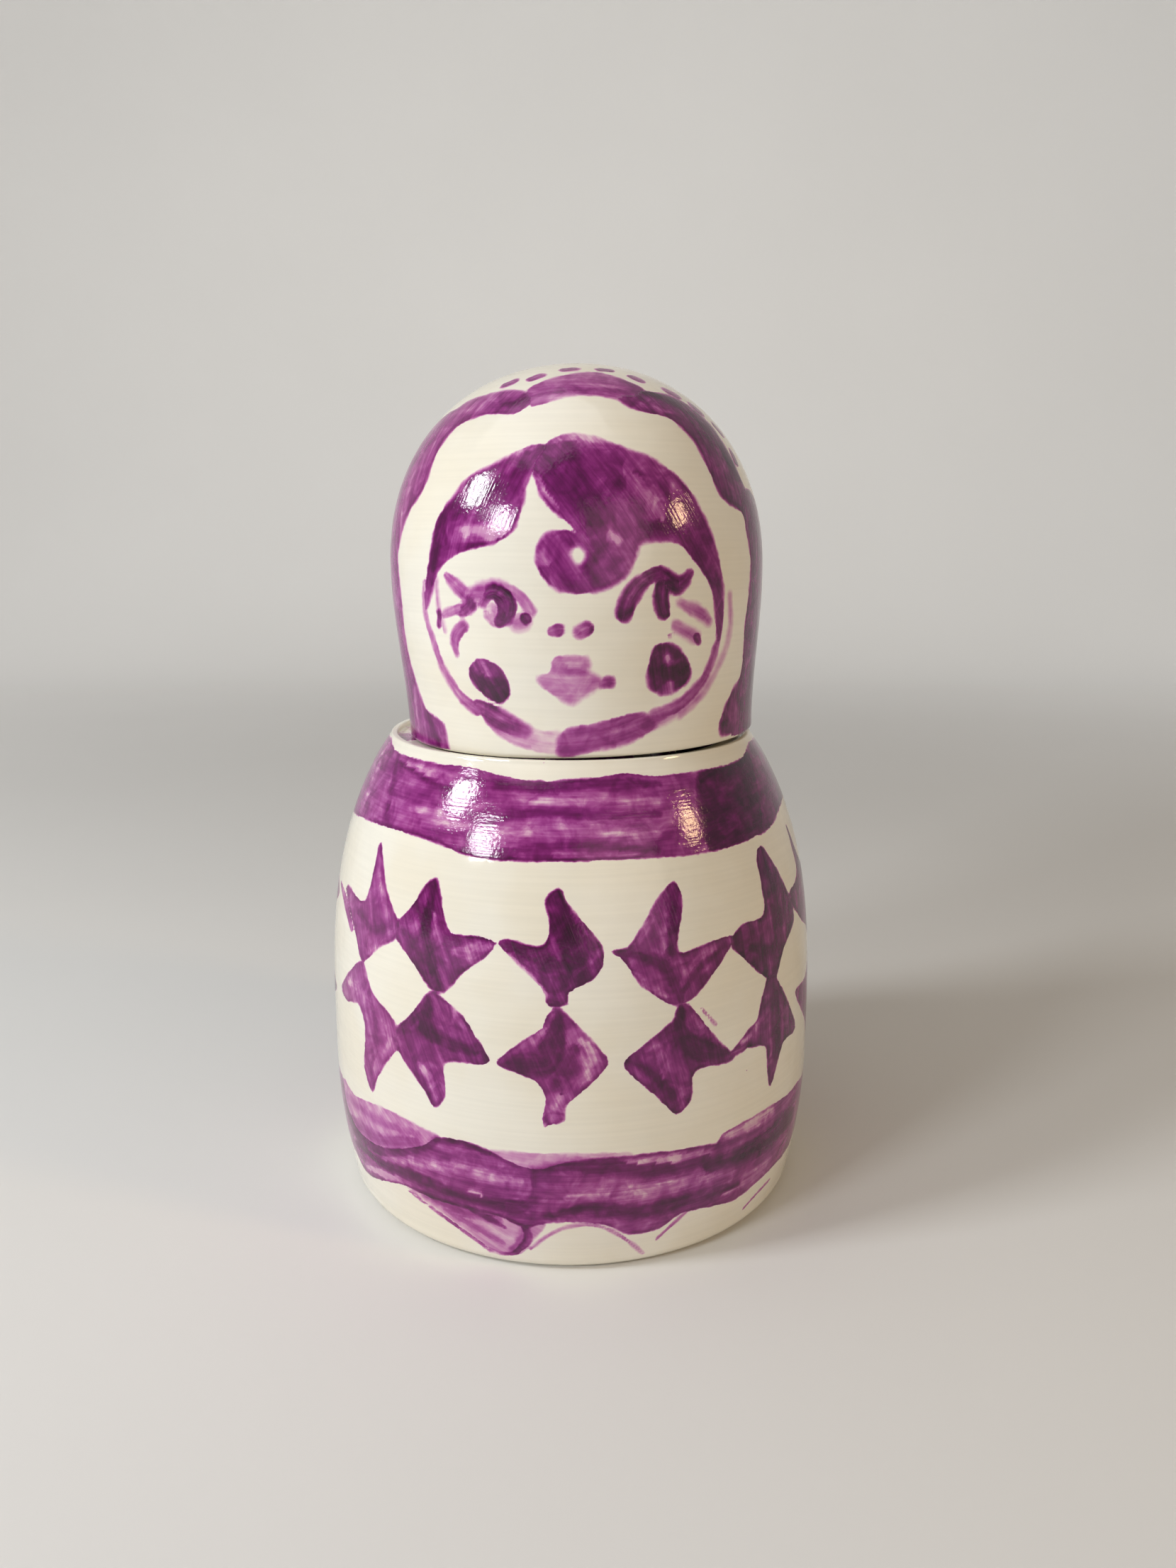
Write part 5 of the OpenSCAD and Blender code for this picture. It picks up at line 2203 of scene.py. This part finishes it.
def rim_rows(outline: Outline, sizes: DollSizes, fineness: Fineness) -> None:
    """Adds the lip, gallery, ledge, throat and cavity of a hollow body.

    Args:
        outline: takes the rows
        sizes: the doll's sizes
        fineness: how finely it is turned
    """
    rim, ledge_z = sizes.rim, sizes.ledge_z
    rim_r, bore_r, mouth_r = sizes.rim_r, sizes.bore_r, sizes.mouth_r
    lip_round = rim.lip * FORM.edge_round_share
    mouth_round = rim.gallery * FORM.edge_round_share
    crest_z = sizes.rim_z - lip_round
    outline.run_on((rim_r, crest_z), fineness.spacing, Surface.NECK)
    outline.arc((rim_r - lip_round, crest_z), lip_round, (0, 90), Surface.LIP_OUTSIDE)
    outline.arc((bore_r + lip_round, crest_z), lip_round, (90, 180), Surface.LIP_INSIDE)
    outline.line((bore_r, crest_z), (bore_r, ledge_z), Surface.GALLERY)
    outline.line((bore_r, ledge_z), (mouth_r + mouth_round, ledge_z), Surface.LEDGE)
    outline.arc((mouth_r + mouth_round, ledge_z - mouth_round), mouth_round, (90, 180), Surface.MOUTH)
    throat_z = ledge_z - rim.throat
    outline.line((mouth_r, ledge_z - mouth_round), (mouth_r, throat_z), Surface.THROAT)
    cove = FORM.cove_r * sizes.share
    floor_z = rim.wall + FORM.floor_extra
    heights = np.linspace(throat_z - rim.flare, floor_z + cove, fineness.inside_rows)
    cavity = np.column_stack([sizes.body_r(heights) - rim.wall, heights])
    outline.line((mouth_r, throat_z), tuple(cavity[0]), Surface.FLARE)
    outline.add(cavity, Surface.INSIDE)
    outline.arc((cavity[-1, 0] - cove, cavity[-1, 1]), cove, (0, -90), Surface.COVE)
    outline.line((cavity[-1, 0] - cove, floor_z), (0, floor_z), Surface.FLOOR)


def dome_rows(outline: Outline, sizes: DollSizes, fineness: Fineness) -> None:
    """Adds a hollow head, from the crown inside round its bottom edge to the crown outside.

    Args:
        outline: takes the rows
        sizes: the doll's sizes
        fineness: how finely it is turned
    """
    wall = sizes.rim.wall
    edge_r = wall * FORM.edge_round_share
    inside = sizes.head_points(2 * edge_r, wall)[::-1]
    length = np.linalg.norm(np.diff(inside, axis=0), axis=1).sum()
    outline.add(evenly(inside, length / fineness.inside_rows), Surface.INSIDE)
    outline.arc((sizes.collar_r - wall + edge_r, edge_r), edge_r, (180, 270), Surface.HEAD_EDGE_INSIDE)
    outline.arc((sizes.collar_r - edge_r, edge_r), edge_r, (270, 360), Surface.HEAD_EDGE)
    outside = sizes.head_points(2 * edge_r, FORM.skin * sizes.share)
    outline.add(evenly(outside, fineness.spacing), Surface.DOME)


@dataclass
class HollowDoll:
    """A hollow doll: a jar body, and a head that lies in its gallery as a lid."""

    name: str
    number: int
    fineness: Fineness
    shop: Workshop
    sizes: DollSizes = field(init=False)
    pieces: List[bpy.types.Object] = field(default_factory=list)

    def __post_init__(self) -> None:
        """Takes the doll's sizes from the frame."""
        self.sizes = DollSizes.hollow(self.name)

    def head_placement(self) -> Matrix:
        """Where the head lies: square in its gallery, or slipped with its right edge on the lip.

        Returns:
            Its place in the part's frame.
        """
        sizes = self.sizes
        seat = Matrix.Translation((0, 0, sizes.stand_z + sizes.ledge_z + FORM.seat_gap))
        return slipped_place(sizes) if self.number == 0 else seat

    def build(self) -> None:
        """Turns the two shells and paints them."""
        sizes = self.sizes
        jar, dome = Outline(), Outline()
        foot_rows(jar, sizes, self.fineness)
        rim_rows(jar, sizes, self.fineness)
        dome_rows(dome, sizes, self.fineness)
        stand = Matrix.Translation((0, 0, sizes.stand_z))
        for part, outline, hand, place in (
            ("body", jar, BODY_HAND, stand),
            ("head", dome, HEAD_HAND, self.head_placement()),
        ):
            name = f"{self.name}_{part}"
            piece = self.shop.turn(name, self.number, outline, sizes.share, hand, self.fineness)
            self.shop.paint(piece, self.number, sizes.share, body=part == "body")
            piece.data.transform(place)
            self.pieces.append(piece)

    def dress(self) -> None:
        """Sets the pieces on their bodies in the frame."""
        for piece, part in zip(self.pieces, ("body", "head")):
            node = f"{self.name}_{part}"
            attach(piece, node)
            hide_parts(node)


@dataclass
class SolidDoll:
    """The solid innermost doll, head and body in one piece."""

    fineness: Fineness
    shop: Workshop
    outer: DollSizes
    number: int = 4
    pieces: List[bpy.types.Object] = field(default_factory=list)

    def build(self) -> None:
        """Turns the doll and paints it."""
        sizes = DollSizes.solid(self.outer)
        outline = Outline()
        foot_rows(outline, sizes, self.fineness)
        outline.run_on((sizes.rim_r, sizes.rim_z), self.fineness.spacing, Surface.SOLID_NECK)
        head = evenly(sizes.head_points(0.0, 0.0), self.fineness.spacing)
        outline.add(head + np.array([0.0, sizes.rim_z]), Surface.DOME)
        piece = self.shop.turn(
            "innermost_doll", self.number, outline, sizes.share, INNERMOST_HAND, self.fineness
        )
        self.shop.paint(piece, self.number, sizes.share, neck_z=sizes.rim_z)
        piece.data.transform(Matrix.Translation((0, 0, sizes.stand_z)))
        self.pieces.append(piece)

    def dress(self) -> None:
        """Sets the piece on its body in the frame."""
        for piece in self.pieces:
            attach(piece, "innermost_doll")
            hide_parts("innermost_doll")


def slipped_place(sizes: DollSizes) -> Matrix:
    """Place of the outer head: its left edge in the gallery, its right edge up on the lip.

    Args:
        sizes: the outer doll's sizes

    Returns:
        The head's place in the part's frame.
    """
    slip, collar = FORM.head_slip, sizes.collar_r
    reach_share = (sizes.bore_r**2 - slip**2 - collar**2) / (2 * slip * collar)
    left_x = slip - collar
    lip_x = slip + collar * reach_share
    lean = math.atan(sizes.rim.gallery / (lip_x - left_x))
    pivot = Matrix.Translation((left_x, 0, sizes.stand_z + sizes.ledge_z + FORM.seat_gap))
    return pivot @ Matrix.Rotation(-lean, 4, "Y") @ Matrix.Translation((collar, 0, 0))


@dataclass(frozen=True)
class Lamp:
    """One soft lamp, aimed at the doll from an azimuth left or right of the front."""

    name: str
    azimuth: float
    elevation: float
    distance: float
    width: float
    height: float
    power: float
    colour: Tuple[float, float, float]

    def hang(self, aim: Vector) -> bpy.types.Object:
        """Makes the lamp.

        Args:
            aim: what it points at

        Returns:
            The lamp.
        """
        data = bpy.data.lights.new(self.name, "AREA")
        data.shape = "RECTANGLE"
        data.size = self.width
        data.size_y = self.height
        data.energy = self.power
        data.color = self.colour
        lamp = bpy.data.objects.new(self.name, data)
        turn, rise = math.radians(self.azimuth), math.radians(self.elevation)
        way = Vector((math.sin(turn) * math.cos(rise), -math.cos(turn) * math.cos(rise), math.sin(rise)))
        lamp.location = aim + way * self.distance
        lamp.rotation_euler = (-way).to_track_quat("-Z", "Y").to_euler()
        bpy.context.scene.collection.objects.link(lamp)
        return lamp


@dataclass
class Studio:
    """Pale sweep, soft lamps and the photograph's camera.

    Attributes:
        ambient: strength of the room's light on the dolls
        seen: strength of the room where it is looked at
    """

    camera: PhotoCamera
    reach: float = 6.0
    back: float = 0.75
    bend: float = 0.35
    bend_rows: int = 24
    wall: float = 2.2
    room: Colour = (1.0, 0.96, 0.91, 1.0)
    ambient: float = 0.15
    seen: float = 0.34
    lamps: Tuple[Lamp, ...] = (
        Lamp("window_upper_pane", -69.0, 34.0, 0.80, 0.15, 0.20, 2.9, (0.95, 0.98, 1.0)),
        Lamp("window_lower_pane", -46.0, 23.0, 0.80, 0.16, 0.14, 1.9, (0.95, 0.98, 1.0)),
        Lamp("overhead", -60.0, 74.0, 0.90, 0.80, 0.80, 1.6, (1.0, 0.98, 0.95)),
        Lamp("warm_side", 66.0, 24.0, 0.80, 0.09, 0.12, 0.9, (1.0, 0.68, 0.36)),
        Lamp("front", 24.0, 14.0, 1.30, 0.90, 0.90, 1.6, (1.0, 0.86, 0.66)),
    )

    def sweep(self) -> bpy.types.Object:
        """Makes the floor and backdrop in one bent sheet.

        Returns:
            The sheet.
        """
        turn = np.linspace(0, math.pi / 2, self.bend_rows)
        bend_y = self.back + self.bend * np.sin(turn)
        bend_z = self.bend * (1 - np.cos(turn))
        top = (self.back + self.bend, self.wall)
        path = [(-self.reach, 0.0), *zip(bend_y.tolist(), bend_z.tolist()), top]
        points = [(x, y, z) for y, z in path for x in (-self.reach, self.reach)]
        faces = [(2 * k, 2 * k + 1, 2 * k + 3, 2 * k + 2) for k in range(len(path) - 1)]
        mesh = bpy.data.meshes.new("sweep")
        mesh.from_pydata(points, [], faces)
        mesh.shade_smooth()
        mesh.materials.append(StageFinish().build())
        sheet = bpy.data.objects.new("sweep", mesh)
        bpy.context.scene.collection.objects.link(sheet)
        return sheet

    def build(self) -> None:
        """Sets up the sweep, the lamps, the room's light and the camera."""
        self.sweep()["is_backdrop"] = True
        low, high = CAD_BOX
        for lamp in self.lamps:
            lamp.hang((low + high) / 2)
        world = bpy.data.worlds.new("room")
        s = emptied(world)
        sky = s.add("ShaderNodeBackground")
        sky.inputs["Color"].default_value = self.room
        s.feed(sky.inputs["Strength"], s.remap(seen_directly(s), 0.0, 1.0, self.ambient, self.seen))
        s.feed(s.add("ShaderNodeOutputWorld").inputs["Surface"], sky.outputs[0])
        bpy.context.scene.world = world
        bpy.context.scene.view_settings.view_transform = "Standard"
        self.camera.place()


def main() -> None:
    """Builds the dolls from the outside in, then the studio."""
    logging.basicConfig(level=logging.INFO, format="%(name)s: %(message)s")
    camera = PhotoCamera()
    outer = DollSizes.hollow("outer")
    heights = np.linspace(0, outer.rim_z, PROFILE_POINTS)
    body_profile = np.column_stack([outer.body_r(heights), heights])
    shop = Workshop(
        tree=TurnedShellTree(),
        body_ground=PaintGround(body_profile, Matrix.Identity(4), camera, False),
        head_ground=PaintGround(outer.head_points(0.0, 0.0), slipped_place(outer), camera, True),
    )
    dolls: List[Union[HollowDoll, SolidDoll]] = [
        HollowDoll("outer", 0, Fineness(400, 0.52 * MM, 24), shop),
        HollowDoll("second", 1, Fineness(300, 0.48 * MM, 20), shop),
        HollowDoll("third", 2, Fineness(240, 0.36 * MM, 16), shop),
        HollowDoll("fourth", 3, Fineness(200, 0.25 * MM, 14), shop),
        SolidDoll(Fineness(160, 0.16 * MM, 12), shop, outer),
    ]
    for doll in dolls:
        doll.build()
        doll.dress()
        for piece in doll.pieces:
            mesh = piece.data
            LOG.info("%s: %d points, %d faces", piece.name, len(mesh.vertices), len(mesh.polygons))
    Studio(camera).build()


if __name__ == "__main__":
    main()
